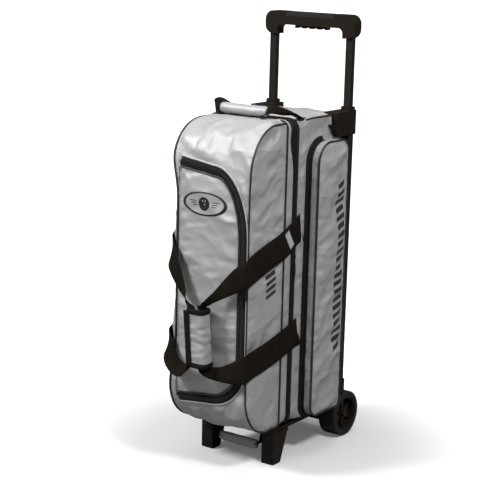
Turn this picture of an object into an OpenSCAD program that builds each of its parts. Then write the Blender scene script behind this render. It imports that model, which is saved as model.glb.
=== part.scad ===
// Wheeled bowling ball bag, upright type: a ball compartment that holds three balls in a column, a front
// section with a shoe pocket that swings open like a door, a side pocket, two carry straps joined by a
// padded wrap, a telescoping trolley handle, two wheels behind and two legs in front.
// Millimetres, +Z up, front face towards -Y. The origin is on the ground under the middle of the part.

/* [Bag body] */
// Width of the fabric body
body_w = 240; // [236:1:260]
// Height of the underside of the fabric body above the ground
base_z = 100; // [98:1:104]
// Height of the top of the fabric body above the ground
top_z = 910; // [880:1:940]
// Depth of the front section that holds the shoe pocket
front_d = 149; // [140:1:155]
// Distance from the front face to the main zipper
zip_y = 199; // [195:1:205]
// Distance from the front face to the back panel
back_y = 410; // [405:1:410]
// Radius of the curved top and bottom of the front section
nose_r = 120; // [90:1:130]
// Thickness of the padded fabric panels
panel_t = 5; // [4:0.5:6]

/* [Side pocket] */
// How far the side pocket stands out from the body
pocket_out = 35; // [25:1:38]
// Height of the side pocket
pocket_h = 736; // [600:1:736]

/* [Straps] */
// Width of the carry strap webbing
strap_w = 74; // [70:1:76]
// Gap between the straps and the front face
strap_gap = 23; // [20:1:24]
// Length of the padded wrap that joins the two straps
wrap_len = 136; // [110:1:140]

/* [Trolley] */
// Height of the top of the grip with the handle out
grip_top = 1166; // [1140:1:1200]
// Distance between the centres of the two handle tubes
tube_gap = 242; // [236:1:244]
// Wheel diameter
wheel_d = 127; // [124:1:127]
// Wheel width
wheel_w = 52; // [46:1:54]
// Axle diameter
axle_d = 10; // [8:1:12]

/* [Output] */
// Which sub-part to draw, or all

/* [Hidden] */
$fn = 64;
eps = 0.02;
play = 0.05;                      // radial clearance of a wheel on the axle
half_w = body_w / 2;
body_h = top_z - base_z;
mid_z = (top_z + base_z) / 2;
tape_w = 10;                      // half of a zipper's width, one tape
tape_t = 1.5;
slit = 1;                         // half of the gap between the two tapes of a zipper
cord_r = 2.2;                     // piping
cord_off = cord_r * 0.74;         // puts piping just outside a square edge
ball_r = 108;
door_edge = zip_y - 3;            // back edge of the swinging front section
case_edge = zip_y + 3;            // front edge of the fixed case
door_axis_x = -half_w - 1;
flap_x = -97.5;                   // hinge edge of the shoe pocket flap
d_top = [10, 620, 95, 173];       // shoe pocket zipper: centre x, z and radii of its top curve
d_low = [0, 290, 106, 95];        // and of its bottom curve
d_left = [807, 182];              // its heights at the hinge edge
pocket_y = [258, 398];
pocket_z = [110, 110 + pocket_h];
lid_axis_y = 402;
wheel_r = wheel_d / 2;
wheel_y = back_y + 54;
wheel_x = half_w - 32;            // inner face of a wheel
tube_x = tube_gap / 2;
tube_y = back_y + 29;
tube = [24, 18];                  // inner tube section
sleeve = [30, 24];                // outer tube section
bracket_z = [852, 916];
bracket_screw_z = [866, 896];
bracket_screw_y = 392;
web_t = 2;
strap_x = half_w + 7;             // a strap's middle plane beside the body
strap_axis = [half_w + 7, zip_y + 17];
leg_x = 99;
leg_y = 137;
deck = [88, 95.4];                // rigid base under the body, clear of the piping that swings over it
deck_end = 402;                   // its back edge, in front of the tyres
screw_y = [leg_y + 8, leg_y + 60];
// half of the part's overall depth and width, used to centre it over the origin
edge_lo = [-144, -strap_gap - 41];
edge_hi = [half_w + pocket_out + 3, wheel_y + wheel_r];
mid = (edge_lo + edge_hi) / 2;

silver = [0.72, 0.72, 0.73];
charcoal = [0.24, 0.22, 0.21];
black = [0.09, 0.08, 0.075];

// ---- helpers ----
module seat() translate([-mid[0], -mid[1], 0]) children();
module both() { children(); mirror([1, 0, 0]) children(); }
// a profile drawn in Y and Z, extruded along X from x0 to x1
module along_x(x0, x1) translate([x0, 0, 0]) rotate([90, 0, 90]) linear_extrude(x1 - x0) children();
// a profile drawn in X and Z, extruded along Y from y0 to y1
module along_y(y0, y1) translate([0, y1, 0]) rotate([90, 0, 0]) linear_extrude(y1 - y0) children();
// a rectangle with its four corners rounded
module round_rect(x0, x1, y0, y1, r) {
  translate([x0 + r, y0]) square([x1 - x0 - 2 * r, y1 - y0]);
  translate([x0, y0 + r]) square([x1 - x0, y1 - y0 - 2 * r]);
  for (x = [x0 + r, x1 - r], y = [y0 + r, y1 - r]) translate([x, y]) circle(r);
}
module block(lo, hi) translate(lo) cube(hi - lo);
// the front section's side profile, moved inwards by o
module nose(o) {
  r = nose_r - o;
  ends = [base_z + nose_r, top_z - nose_r];
  translate([nose_r, base_z + o]) square([front_d - nose_r, body_h - 2 * o]);
  translate([o, ends[0]]) square([r, ends[1] - ends[0]]);
  for (k = [0, 1]) translate([nose_r, ends[k]]) intersection() {
    circle(r, $fn = 128);
    translate([-r, k * r - r]) square(r);
  }
}
// the skin of the front section between two depths
module nose_skin(outer, inner, x0, x1) difference() {
  along_x(x0, x1) nose(outer);
  along_x(x0 - 1, x1 + 1) nose(inner);
  translate([0, front_d + 1, mid_z]) cube([body_w + 20, 2, body_h - 2 * inner], center = true);
}
// outline of the shoe pocket zipper, moved outwards by o; left is its straight edge
function ring(c, o, a0, a1) = [for (i = [0:14]) let (a = a0 + (a1 - a0) * i / 14)
  [c[0] + (c[2] + o) * cos(a), c[1] + (c[3] + o) * sin(a)]];
module d_shape(o, left) polygon(concat([[left, d_left[1] - o], [left, d_left[0] + o]],
  ring(d_top, o, 90, 0), ring(d_low, o, 0, -90)));
// outline of the side pocket, moved outwards by o
module pocket_shape(o) {
  y0 = pocket_y[0]; y1 = pocket_y[1]; z0 = pocket_z[0]; z1 = pocket_z[1];
  corners = [[y0, z1, 52, 1, -1], [y1, z1, 30, -1, -1], [y0, z0, 30, 1, 1], [y1, z0, 16, -1, 1]];
  difference() {
    translate([y0 - o, z0 - o]) square([y1 - y0 + 2 * o, z1 - z0 + 2 * o]);
    for (c = corners) {
      r = c[2] + o;
      translate([c[0] + c[3] * c[2], c[1] + c[4] * c[2]]) difference() {
        translate([c[3] > 0 ? -r - 1 : 0, c[4] > 0 ? -r - 1 : 0]) square(r + 1);
        circle(r);
      }
    }
  }
}
// the body's outline seen from the front, moved inwards by o
module body_shape(o) round_rect(-half_w + o, half_w - o, base_z + o, top_z - o, 18 - o);
// webbing through a list of rows [centre, half width vector]
function unit(v) = v / norm(v);
module ribbon(rows, t = web_t) {
  n = len(rows);
  pts = [for (i = [0:n - 1]) let (
      dir = rows[min(i + 1, n - 1)][0] - rows[max(i - 1, 0)][0],
      c = rows[i][0], w = rows[i][1], d = unit(cross(dir, w)) * t / 2)
    each [c + w + d, c - w + d, c - w - d, c + w - d]];
  sides = [for (i = [0:n - 2], k = [0:3]) let (a = i * 4 + k, b = i * 4 + (k + 1) % 4)
    each [[a, b, b + 4], [a, b + 4, a + 4]]];
  polyhedron(pts, concat([[3, 2, 1], [3, 1, 0]], sides,
    [[n * 4 - 4, n * 4 - 3, n * 4 - 2], [n * 4 - 4, n * 4 - 2, n * 4 - 1]]), convexity = 6);
}
module rod_x(x0, x1, y, z, r) translate([x0, y, z]) rotate([0, 90, 0]) cylinder(h = x1 - x0, r = r);
module rod_y(x, y0, y1, z, r) translate([x, y1, z]) rotate([90, 0, 0]) cylinder(h = y1 - y0, r = r);
module rod_z(x, y, z0, z1, r) translate([x, y, z0]) cylinder(h = z1 - z0, r = r);

// ---- case ----
module case_side(s) intersection() {
  difference() {
    along_y(case_edge, back_y) body_shape(0);
    along_y(case_edge - 1, back_y + 1) body_shape(panel_t);
  }
  block([s > 0 ? half_w - 18 : -half_w, 0, base_z], [s > 0 ? half_w : -half_w + 18, back_y, top_z]);
}
module case_sides() color(silver) seat() for (s = [-1, 1]) case_side(s);
module case_top() color(silver) seat()
  block([-half_w + 18, case_edge, top_z - panel_t], [half_w - 18, back_y, top_z]);
module case_floor() color(silver) seat()
  block([-half_w + 18, case_edge, base_z], [half_w - 18, back_y, base_z + panel_t]);
module case_back() color(silver) seat() along_y(back_y - panel_t, back_y) body_shape(panel_t + eps);
module case_piping() color(charcoal) seat() {
  e = cord_off;
  both() rod_y(half_w - 5.3 + (5.3 + cord_r) * sqrt(0.5) + 0.1, case_edge + 12, 350,
    top_z - 5.3 + (5.3 + cord_r) * sqrt(0.5) + 0.1, cord_r);
  rod_x(-88, 88, back_y + e, top_z + e, cord_r);
  both() rod_z(half_w - 3, back_y + cord_r + 0.1, 172, bracket_z[0] - 4, cord_r);
  rod_z(door_axis_x, zip_y, base_z + 20, top_z - 20, 1.8);   // the cord that the front section swings on
}
module zip_band(y0, y1) difference() {
  along_y(y0, y1) body_shape(-tape_t);
  along_y(y0 - 1, y1 + 1) body_shape(0);
  block([-half_w - 5, y0 - 2, base_z - 5], [-half_w + 22, y1 + 2, top_z + 5]);
}
module case_zip_tape() color(black) seat() zip_band(zip_y + slit, zip_y + slit + tape_w);
module foam_cup() color([0.3, 0.3, 0.31]) seat() difference() {
  intersection() {
    block([-half_w + 10, case_edge + 2, base_z], [half_w - 10, back_y - 8, base_z + 40]);
    along_y(case_edge, back_y) body_shape(panel_t + eps);
  }
  translate([0, 277, base_z + 12 + ball_r]) sphere(ball_r + 1);
}

// ---- base, legs and wheels ----
module base_deck() color(black) seat() difference() {
  union() {
    translate([0, 0, deck[0]]) linear_extrude(deck[1] - deck[0])
      round_rect(-half_w + 7, half_w - 7, leg_y - 3, deck_end, 12);
    block([-half_w + 20, case_edge + tape_w + 2, deck[1] - eps], [half_w - 20, deck_end - 6, base_z - eps]);
  }
  both() for (y = screw_y) {
    rod_z(leg_x, y, deck[0] - 1, deck[1] + 1, 3);
    rod_z(leg_x, y, deck[1] - 2.2, deck[1] + 1, 5.6);
  }
}
module leg() {
  difference() {
    union() {
      along_x(leg_x - 18, leg_x + 18)
        polygon([[leg_y + 3, 0], [leg_y + 33, 0], [leg_y + 38, 5], [leg_y + 66, deck[0] - 8],
          [leg_y + 66, deck[0]], [leg_y, deck[0]], [leg_y, 3]]);
      translate([0, 0, deck[0] - 8]) linear_extrude(8)
        round_rect(leg_x - 24, leg_x + 18, leg_y, leg_y + 74, 5);
    }
    block([leg_x - 12, leg_y + 8, 12], [leg_x + 12, leg_y + 28, deck[0] - 14]);
    for (y = screw_y) rod_z(leg_x, y, deck[0] - 20, deck[0] + 1, 3);
  }
}
module legs() color(black) seat() both() leg();
// the screws that hold the legs to the deck and the corner brackets to the body
module screws() color([0.5, 0.5, 0.52]) seat() both() {
  for (y = screw_y) {
    rod_z(leg_x, y, deck[0] - 10, deck[1] - 2, 2.9);
    rod_z(leg_x, y, deck[1] - 2, deck[1] - 0.1, 5.5);
  }
  for (z = bracket_screw_z) {
    rod_x(half_w + 0.2, tube_x + 17, bracket_screw_y, z, 2);
    rod_x(tube_x + 17.02, tube_x + 18.5, bracket_screw_y, z, 4.5);
  }
}
module wheel_carrier() color(black) seat() {
  y0 = back_y + 0.5;
  difference() {
    along_x(-wheel_x + 3, wheel_x - 3)
      polygon([[y0, 48], [y0, 168], [y0 + 20, 168], [wheel_y + 6, 110], [wheel_y + 20, 84],
        [wheel_y + 20, 46], [wheel_y + 8, 36], [wheel_y - 12, 36]]);
    for (x = [-62:31:62]) block([x - 12, y0 + 6, 40 + 14], [x + 12, wheel_y - 12, 104]);
    rod_x(-wheel_x, wheel_x, wheel_y, wheel_r, axle_d / 2 + play);
  }
}
module axle() color([0.6, 0.6, 0.62]) seat()
  rod_x(-wheel_x - wheel_w + 8, wheel_x + wheel_w - 8, wheel_y, wheel_r, axle_d / 2);
module at_wheel(s) seat() translate([s * wheel_x, wheel_y, wheel_r]) rotate([0, s * 90, 0]) children();
module tyre() color(black) rotate_extrude($fn = 96) difference() {
  round_rect(wheel_r - 17, wheel_r, 0, wheel_w, 4);
  translate([wheel_r - 18, -1]) square([3, wheel_w + 2]);
}
module rim() color([0.13, 0.12, 0.12]) difference() {
  r1 = wheel_r - 15 - eps;
  union() {
    rotate_extrude($fn = 96) {
      translate([r1 - 5, 3]) square([5, wheel_w - 6]);
      translate([axle_d / 2 + play, 1]) square([13 - axle_d / 2, wheel_w - 9]);
      translate([axle_d / 2 + 2, wheel_w / 2 - 4]) square([r1 - axle_d / 2 - 4, 8]);
    }
    for (a = [0:60:300]) rotate([0, 0, a]) translate([10, -4, wheel_w / 2]) cube([r1 - 12, 8, 14]);
  }
  rod_z(0, 0, -1, wheel_w + 1, axle_d / 2 + play);
  for (a = [30:60:330]) rotate([0, 0, a]) rod_z(29, 0, 2, wheel_w, 7);
}
module cap() color(charcoal) {
  translate([0, 0, wheel_w - 7.9]) cylinder(h = 4, r = 11);
  translate([0, 0, wheel_w - 3.9]) cylinder(h = 2, r1 = 11, r2 = 8);
}
module tyre_left() at_wheel(-1) tyre();
module rim_left() at_wheel(-1) rim();
module cap_left() at_wheel(-1) cap();
module tyre_right() at_wheel(1) tyre();
module rim_right() at_wheel(1) rim();
module cap_right() at_wheel(1) cap();

// ---- trolley handle ----
module section(s, o = 0) round_rect(-s[0] / 2 - o, s[0] / 2 + o, -s[1] / 2 - o, s[1] / 2 + o, 6 + o);
module tube_z(z0, z1, s, o = 0) translate([tube_x, tube_y, z0]) linear_extrude(z1 - z0) section(s, o);
module corner_brackets() color(charcoal) seat() both() difference() {
  union() {
    translate([0, 0, bracket_z[0]]) linear_extrude(bracket_z[1] - bracket_z[0])
      round_rect(tube_x - 25, tube_x + 17, 300, tube_y + 20, 6);
    translate([tube_x, tube_y, bracket_z[1] - eps]) linear_extrude(9) section(sleeve, 2);
  }
  block([0, 0, 0], [half_w + 0.1, back_y + 0.1, top_z + 0.1]);
  along_x(0, 200) translate([270, 800]) circle(112, $fn = 96);
  along_x(0, 200) translate([280, 885]) square([78, 60]);
  block([0, 200, top_z - 1], [half_w - 34, back_y + 0.1, 1000]);
  tube_z(bracket_z[0] - 1, bracket_z[1] - 12, sleeve, 0.1);
  tube_z(bracket_z[0] - 1, 1000, tube, 0.3);
  along_x(half_w, half_w + 2) pocket_shape(11.5);
  for (z = bracket_screw_z) rod_x(half_w, 200, bracket_screw_y, z, 2.1);
}
module lower_brackets() color(black) seat() both() difference() {
  translate([0, 0, 132]) linear_extrude(36)
    round_rect(tube_x - 33, tube_x + 17, back_y + 0.5, tube_y + 15, 4);
  tube_z(136, 200, sleeve, 0.1);
}
module handle_sleeves() color([0.16, 0.15, 0.15]) seat() both() difference() {
  tube_z(136.1, bracket_z[1] - 12.2, sleeve);
  tube_z(100, 1000, tube, 0.15);
}
module inner_tubes() color([0.12, 0.11, 0.11]) seat() both() difference() {
  tube_z(610, grip_top - 30, tube);
  tube_z(600, grip_top, tube, -1.5);
}
grip_y = tube_y;
module grip_outline(o) difference() {
  round_rect(-tube_x - 21 + o, tube_x + 21 - o, grip_top - 62 + o, grip_top - o, 24 - o);
  round_rect(-tube_x + 17 - o, tube_x - 17 + o, grip_top - 120, grip_top - 36 + o, 14 + o);
  translate([-200, grip_top - 200]) square([400, 200 - 62 + o]);
}
module grip_body() color(charcoal) seat() difference() {
  translate([0, grip_y, 0]) along_y(-17, 17) grip_outline(0);
  translate([0, grip_y, 0]) along_y(-18, 18) difference() {
    round_rect(-76, 76, grip_top - 26, grip_top + 8, 6);
    translate([-76, grip_top - 30]) square([152, 18]);
  }
  both() tube_z(grip_top - 100, grip_top - 29.9, tube, 0.1);
  both() rod_z(tube_x, grip_y, grip_top - 40, grip_top - 15, 3);
  block([-52, grip_y - 8, grip_top - 40], [52, grip_y + 8, grip_top - 20]);
  block([-tube_x - 4, grip_y - 3, grip_top - 29.9], [tube_x + 4, grip_y + 3, grip_top - 19]);
}
module grip_insert() color([0.14, 0.13, 0.13]) seat() intersection() {
  translate([0, grip_y, 0]) along_y(-17, 17) round_rect(-75.9, 75.9, grip_top - 40, grip_top, 6);
  block([-75.9, grip_y - 17, grip_top - 11.9], [75.9, grip_y + 17, grip_top - 0.5]);
}
module release_trigger() color(black) seat() difference() {
  block([-51.5, grip_y - 7.6, grip_top - 44], [51.5, grip_y + 7.6, grip_top - 28]);
  for (x = [-36:24:36]) rod_y(x, grip_y - 9, grip_y + 9, grip_top - 49, 9);
}
module pull_rods() color([0.6, 0.6, 0.62]) seat() {
  both() block([51.52, grip_y - 2.5, grip_top - 29.5], [tube_x + 2, grip_y + 2.5, grip_top - 26]);
  both() rod_z(tube_x, grip_y, 620, grip_top - 29.52, 2);
}

// ---- front section ----
module front_skin() color(silver) seat() difference() {
  nose_skin(0, panel_t, -half_w, half_w);
  along_y(-10, 60) d_shape(slit, flap_x - slit);
}
module gusset(s) along_x(s > 0 ? half_w - panel_t : -half_w, s > 0 ? half_w : -half_w + panel_t)
  nose(panel_t + eps);
module gussets() color(silver) seat() for (s = [-1, 1]) gusset(s);
module pocket_divider() color(charcoal) seat()
  block([-half_w + panel_t + eps, front_d - panel_t, base_z + panel_t + eps],
    [half_w - panel_t - eps, front_d, top_z - panel_t - eps]);
module door_collar() color(silver) seat() difference() {
  along_y(front_d + eps, door_edge) body_shape(0);
  along_y(front_d - 1, door_edge + 1) body_shape(panel_t);
}
module door_zip_tape() color(black) seat() zip_band(zip_y - slit - tape_w, zip_y - slit);
module front_piping() color(charcoal) seat() {
  x = half_w + cord_off;
  r = nose_r + cord_off;
  both() {
    rod_z(x, -cord_off, base_z + nose_r, top_z - nose_r, cord_r);
    for (t = [-1, 1]) {
      z = t > 0 ? top_z - nose_r : base_z + nose_r;
      rod_y(x, nose_r, front_d - 3, z + t * r, cord_r);
      translate([x, nose_r, z]) rotate([90, 0, -90]) quarter(r, t);
    }
  }
  back_cord();
}
// a quarter ring of piping, bent in the YZ plane from straight down or up round to the front
module quarter(r, t) rotate([0, 0, t > 0 ? 0 : -90]) rotate_extrude(angle = 90)
  translate([r, 0]) circle(cord_r);
// piping round the seam between the front section and its collar
module back_cord() {
  d = cord_r + 0.05;
  y = front_d + 4;
  c = 18;
  both() {
    rod_z(half_w + d, y, base_z + c, top_z - c, cord_r);
    for (t = [-1, 1]) translate([half_w - c, y, t > 0 ? top_z - c : base_z + c])
      rotate([90, 0, 0]) rotate([0, 0, t > 0 ? 0 : -90]) rotate_extrude(angle = 90)
        translate([c + d, 0]) circle(cord_r);
  }
  for (z = [base_z - d, top_z + d]) rod_x(-half_w + c, half_w - c, y, z, cord_r);
}
module flap_zip_tape() color(black) seat() intersection() {
  nose_skin(-tape_t, 0, -half_w, half_w);
  along_y(-10, 60) difference() {
    d_shape(tape_w + slit, flap_x + 12);
    d_shape(slit, flap_x);
  }
}
module zip_end_tabs() color([0.8, 0.8, 0.8]) seat() intersection() {
  nose_skin(-tape_t, 0, -half_w, half_w);
  along_y(-10, 60) for (z = [d_left[1] - 9, d_left[0] + 2]) translate([flap_x - 4, z]) square([15, 9]);
}
module shoe_flap() color(silver) seat() intersection() {
  nose_skin(0, panel_t, -half_w, half_w);
  along_y(-10, 60) d_shape(-slit, flap_x);
}
module flap_edge_tape() color(black) seat() intersection() {
  nose_skin(-tape_t, 0, -half_w, half_w);
  along_y(-10, 60) difference() {
    d_shape(-slit, flap_x + 12);
    d_shape(-slit - tape_w, flap_x);
  }
}
module oval_badge() color([0.5, 0.5, 0.5]) seat() translate([-15, 0, 706]) rotate([90, 0, 0])
  scale([1, 0.44, 1]) cylinder(h = 1.5, r = 70);
zip_line_x = 105.5;
module slider_body() round_slab(10, 16, slider_t);
// a flat slab lying in XZ with rounded corners, its back face at y = 0
module round_slab(w, h, t) along_y(-t, 0) round_rect(-w / 2, w / 2, -h / 2, h / 2, min(w, h) * 0.3);
slider_z = [526, 506];
slider_t = 3;
pull_t = 1.6;
module slider_at(z) translate([zip_line_x, -tape_t - 0.1, z]) children();
module slider_upper() color(black) seat() slider_at(slider_z[0]) slider_body();
module slider_lower() color(black) seat() slider_at(slider_z[1]) slider_body();
// a leaf-shaped pull hanging from its pivot
module leaf(len, w, t) along_y(-t, 0) difference() {
  half = len / 2 - 6;
  arc_r = (half * half + w * w / 4) / w;
  union() {
    circle(3.5);
    translate([-1.5, -14]) square([3, 14]);
    intersection_for (x = [-1, 1]) translate([x * (arc_r - w / 2), half - len]) circle(arc_r, $fn = 96);
  }
  circle(1.5);
}
// the upper pull hangs over the lower one, turned towards the side
module pull_upper() color(black) seat() slider_at(slider_z[0]) translate([0, -slider_t - pull_t - 0.2, 0])
  rotate([0, -20, 0]) leaf(52, 17, pull_t);
module pull_lower() color(black) seat() slider_at(slider_z[1]) translate([0, -slider_t - 0.1, 0])
  rotate([0, 6, 0]) leaf(52, 17, pull_t);
main_z = 556;
module side_at(y, z, off) translate([half_w + tape_t + off, y, z]) rotate([0, 0, 90]) children();
module main_slider() color(black) seat() side_at(zip_y, main_z, 0.1) round_slab(8, 14, 3.2);
module main_pull() color(black) seat() side_at(zip_y, main_z, 3.4) leaf(62, 9, 1.6);

// ---- side pocket ----
pocket_x = half_w + 0.2;
module side_lid_panel() color(silver) seat()
  along_x(half_w + pocket_out - panel_t, half_w + pocket_out) pocket_shape(0);
module side_lid_gusset() color(silver) seat() along_x(pocket_x, half_w + pocket_out - panel_t - eps)
  difference() { pocket_shape(0); pocket_shape(-4); }
module side_lid_piping() color(charcoal) seat() along_x(half_w + pocket_out - 4, half_w + pocket_out - 1)
  difference() { pocket_shape(2.5); pocket_shape(eps); }
module pocket_ring(o1, o0) difference() {
  pocket_shape(o1);
  pocket_shape(o0);
  translate([pocket_y[1] - 12, 0]) square([100, 2000]);
}
module side_lid_tape() color(black) seat() along_x(pocket_x, pocket_x + tape_t) pocket_ring(4, eps);
module side_zip_tape() color(black) seat() along_x(half_w + eps, half_w + eps + tape_t) pocket_ring(11, 5);
module side_slider() color(black) seat() side_at(pocket_y[0] - 4.5, 520, 0.4) round_slab(7.5, 14, 3.2);
module side_pull() color(black) seat() side_at(pocket_y[0] - 4.5, 520, 3.7)
  rotate([0, 10, 0]) leaf(54, 13, 1.6);

// ---- carry straps ----
// half width vector of webbing whose path slopes by the angle a, seen from the side
function tilt(hw, a) = [0, -hw * sin(a), hw * cos(a)];
hw = strap_w / 2;
sx = strap_x;
fy = -strap_gap - 1;              // a strap's middle plane in front of the body
strap_end = strap_axis[1] - 3;
// each loop runs from the upper anchor round the front, down through the wrap and back to the lower anchor
right_rows = [
  [[sx, strap_end, 630], [0, 0, hw + 2]],
  [[sx, 150, 598], tilt(hw, 22)],
  [[sx, 60, 572], tilt(hw, 17)],
  [[sx + 1, 8, 556], tilt(hw, 15)],
  [[sx + 3, -14, 549], [-2, -1, hw - 2]],
  [[sx - 4, -22, 543], [-6, -2, hw - 6]],
  [[sx - 19, fy - 1, 533], [-11, -3, hw - 11]],
  [[83, fy - 3, 513], [-12, -2, hw - 18]],
  [[48, fy - 7, 484], [-7, -3, hw - 26]],
  [[26, -44, 464], [1, -9, 9]],
  [[14, -46, 446], [0, -16, 2]],
  [[14, -46, 370], [0, -16, 0]],
  [[14, -46, 302], [0, -16, -2]],
  [[24, -42, 286], [3, -12, -10]],
  [[48, fy - 8, 281], [-2, -6, -hw + 21]],
  [[83, fy - 3, 285], [4, -1, -hw + 13]],
  [[sx - 19, fy - 1, 293], [7, 0, -hw + 8]],
  [[sx - 4, -22, 299], [6, 1, -hw + 4]],
  [[sx + 3, -14, 303], [2, 2, -hw + 1]],
  [[sx + 1, 8, 307], -tilt(hw, 14)],
  [[sx, 70, 316], -tilt(hw, 14)],
  [[sx, 150, 334], -tilt(hw, 18)],
  [[sx, strap_end, 352], [0, 0, -hw - 2]]];
left_rows = [
  [[sx, strap_end, 634], [0, 0, hw + 2]],
  [[sx, 150, 616], tilt(hw, 15)],
  [[sx, 60, 598], tilt(hw, 12)],
  [[sx + 1, 8, 586], tilt(hw, 14)],
  [[sx + 3, -14, 577], [-6, -2, hw - 5]],
  [[sx - 6, -22, 562], [-16, -2, hw - 13]],
  [[104, fy - 1, 540], [-21, -2, hw - 23]],
  [[84, fy - 3, 510], [-20, -4, 10]],
  [[60, fy - 8, 478], [-13, -8, 8]],
  [[38, -42, 456], [-5, -13, 5]],
  [[20, -46, 438], [0, -16, 2]],
  [[20, -46, 370], [0, -16, 0]],
  [[20, -46, 302], [0, -16, -2]],
  [[26, -44, 284], [3, -15, -7]],
  [[48, -40, 270], [2, -16, -16]],
  [[78, -38, 272], [3, -16, -20]],
  [[104, -34, 288], [10, -13, -22]],
  [[sx - 3, -27, 308], [14, -8, -24]],
  [[sx + 6, -14, 328], [12, 2, -30]],
  [[sx + 9, 10, 342], -tilt(hw - 3, 14)],
  [[sx + 10, 70, 350], -tilt(hw, 4)],
  [[sx + 4, 150, 352], -tilt(hw, 2)],
  [[sx, strap_end, 354], [0, 0, -hw - 2]]];
module strap_right() color(black) seat() ribbon(right_rows);
module strap_left() color(black) seat() mirror([1, 0, 0]) ribbon(left_rows);
module strap_label() color([0.75, 0.75, 0.75]) seat() translate([strap_x + 1.1, 168, 606])
  rotate([22, 0, 0]) translate([0, -11, -27]) cube([0.6, 22, 54]);
module strap_wrap() color(silver) seat() translate([0, 0, 371 - wrap_len / 2]) linear_extrude(wrap_len)
  difference() {
    round_rect(-13, 42, -66, fy - 1.5, 14);
    round_rect(-3, 30, -62.5, fy - 5, 8);
    translate([-30, -62.5]) square([40, 35]);
  }
module wrap_binding() color(black) seat() for (z = [371 - wrap_len / 2 - 3.02, 371 + wrap_len / 2 + 0.02])
  translate([0, 0, z]) linear_extrude(3) difference() {
    round_rect(-12, 41, -65, fy - 2.5, 13);
    round_rect(-3, 30, -62.5, fy - 5, 8);
    translate([-30, -62.5]) square([40, 35]);
  }
// the sewn ends of the carry straps and of the top handle
module sewn_webbing() color(black) seat() both() {
  y0 = strap_axis[1] - 2;
  along_x(half_w + eps, half_w + eps + 2.4)
    polygon([[y0, 591], [y0 + 24, 584], [y0 + 28, 594], [y0 + 4, 669], [y0, 669]]);
  along_x(half_w + eps, half_w + eps + 2.4)
    polygon([[y0, 313], [y0 + 22, 304], [y0 + 27, 318], [y0 + 4, 391], [y0, 391]]);
  block([94, top_axis[0] + 1, top_z + eps], [113, top_axis[0] + 22, top_z + 2.5]);
}

// ---- grab handles ----
top_axis = [zip_y + 17, top_z + 5];
module top_handle_web() color(black) seat() both() ribbon([
  [[64, 178, 930], [0, 11, 3]], [[82, 180, 930], [2, 13, 4]], [[100, 188, 926], [9, 10, 4]],
  [[107, 199, 920], [13, 2, 0]], [[107, top_axis[0] - 3, 917.5], [13, 0, 0]]]);
module top_handle_sleeve() color(silver) seat() difference() {
  rod_x(-72, 72, 178, 930, 13);
  for (s = [-1, 1]) block([s > 0 ? 63 : -73, 160, 925], [s > 0 ? 73 : -63, 196, 935]);
}
low_axis = [leg_y + 14, deck[0] - 4];
module low_handle_web() color(black) seat() both() ribbon([
  [[50, low_axis[0], 42], [0, 10, 0]], [[62, low_axis[0], 46], [1, 10, 0]],
  [[70, low_axis[0], 58], [1, 11, 0]], [[72, low_axis[0], 72], [0, 12, 0]],
  [[72, low_axis[0], low_axis[1]], [0, 5, 0]]]);
module low_handle_sleeve() color(silver) seat() difference() {
  rod_x(-60, 60, low_axis[0], 42, 11);
  for (s = [-1, 1]) block([s > 0 ? 49 : -61, low_axis[0] - 12, 38], [s > 0 ? 61 : -49, low_axis[0] + 12, 48]);
}

case_sides();
case_top();
case_back();
case_floor();
case_piping();
case_zip_tape();
foam_cup();
base_deck();
legs();
wheel_carrier();
axle();
tyre_left();
rim_left();
cap_left();
tyre_right();
rim_right();
cap_right();
corner_brackets();
lower_brackets();
screws();
handle_sleeves();
inner_tubes();
grip_body();
grip_insert();
release_trigger();
pull_rods();
front_skin();
gussets();
pocket_divider();
door_collar();
door_zip_tape();
front_piping();
flap_zip_tape();
zip_end_tabs();
shoe_flap();
flap_edge_tape();
oval_badge();
slider_upper();
pull_upper();
slider_lower();
pull_lower();
main_slider();
main_pull();
side_lid_panel();
side_lid_gusset();
side_lid_piping();
side_lid_tape();
side_zip_tape();
side_slider();
side_pull();
strap_right();
strap_label();
strap_left();
strap_wrap();
wrap_binding();
sewn_webbing();
top_handle_web();
top_handle_sleeve();
low_handle_web();
low_handle_sleeve();
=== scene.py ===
"""Looks for the bowling ball bag: sewn cloth, webbing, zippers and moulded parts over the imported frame."""
import bpy
import bmesh
import math
import numpy as np
from mathutils import Vector, Matrix, noise
from mathutils.bvhtree import BVHTree


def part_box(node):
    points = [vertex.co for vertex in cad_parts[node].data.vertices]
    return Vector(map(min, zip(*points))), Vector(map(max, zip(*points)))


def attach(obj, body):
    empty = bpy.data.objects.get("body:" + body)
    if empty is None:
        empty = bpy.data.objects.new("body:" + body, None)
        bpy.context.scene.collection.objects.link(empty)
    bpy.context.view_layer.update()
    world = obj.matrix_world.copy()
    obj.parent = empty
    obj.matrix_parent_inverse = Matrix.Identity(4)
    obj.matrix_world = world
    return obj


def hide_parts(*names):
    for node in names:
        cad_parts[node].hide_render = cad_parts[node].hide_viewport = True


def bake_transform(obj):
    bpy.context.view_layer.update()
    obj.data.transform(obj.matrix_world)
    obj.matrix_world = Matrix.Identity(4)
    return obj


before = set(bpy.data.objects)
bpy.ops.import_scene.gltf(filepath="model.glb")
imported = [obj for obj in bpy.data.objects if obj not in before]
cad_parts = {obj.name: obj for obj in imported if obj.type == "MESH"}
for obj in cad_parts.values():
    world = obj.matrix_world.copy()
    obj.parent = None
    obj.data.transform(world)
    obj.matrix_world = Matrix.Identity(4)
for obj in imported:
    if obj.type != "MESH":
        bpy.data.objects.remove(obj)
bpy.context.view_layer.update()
scene = bpy.context.scene

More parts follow.
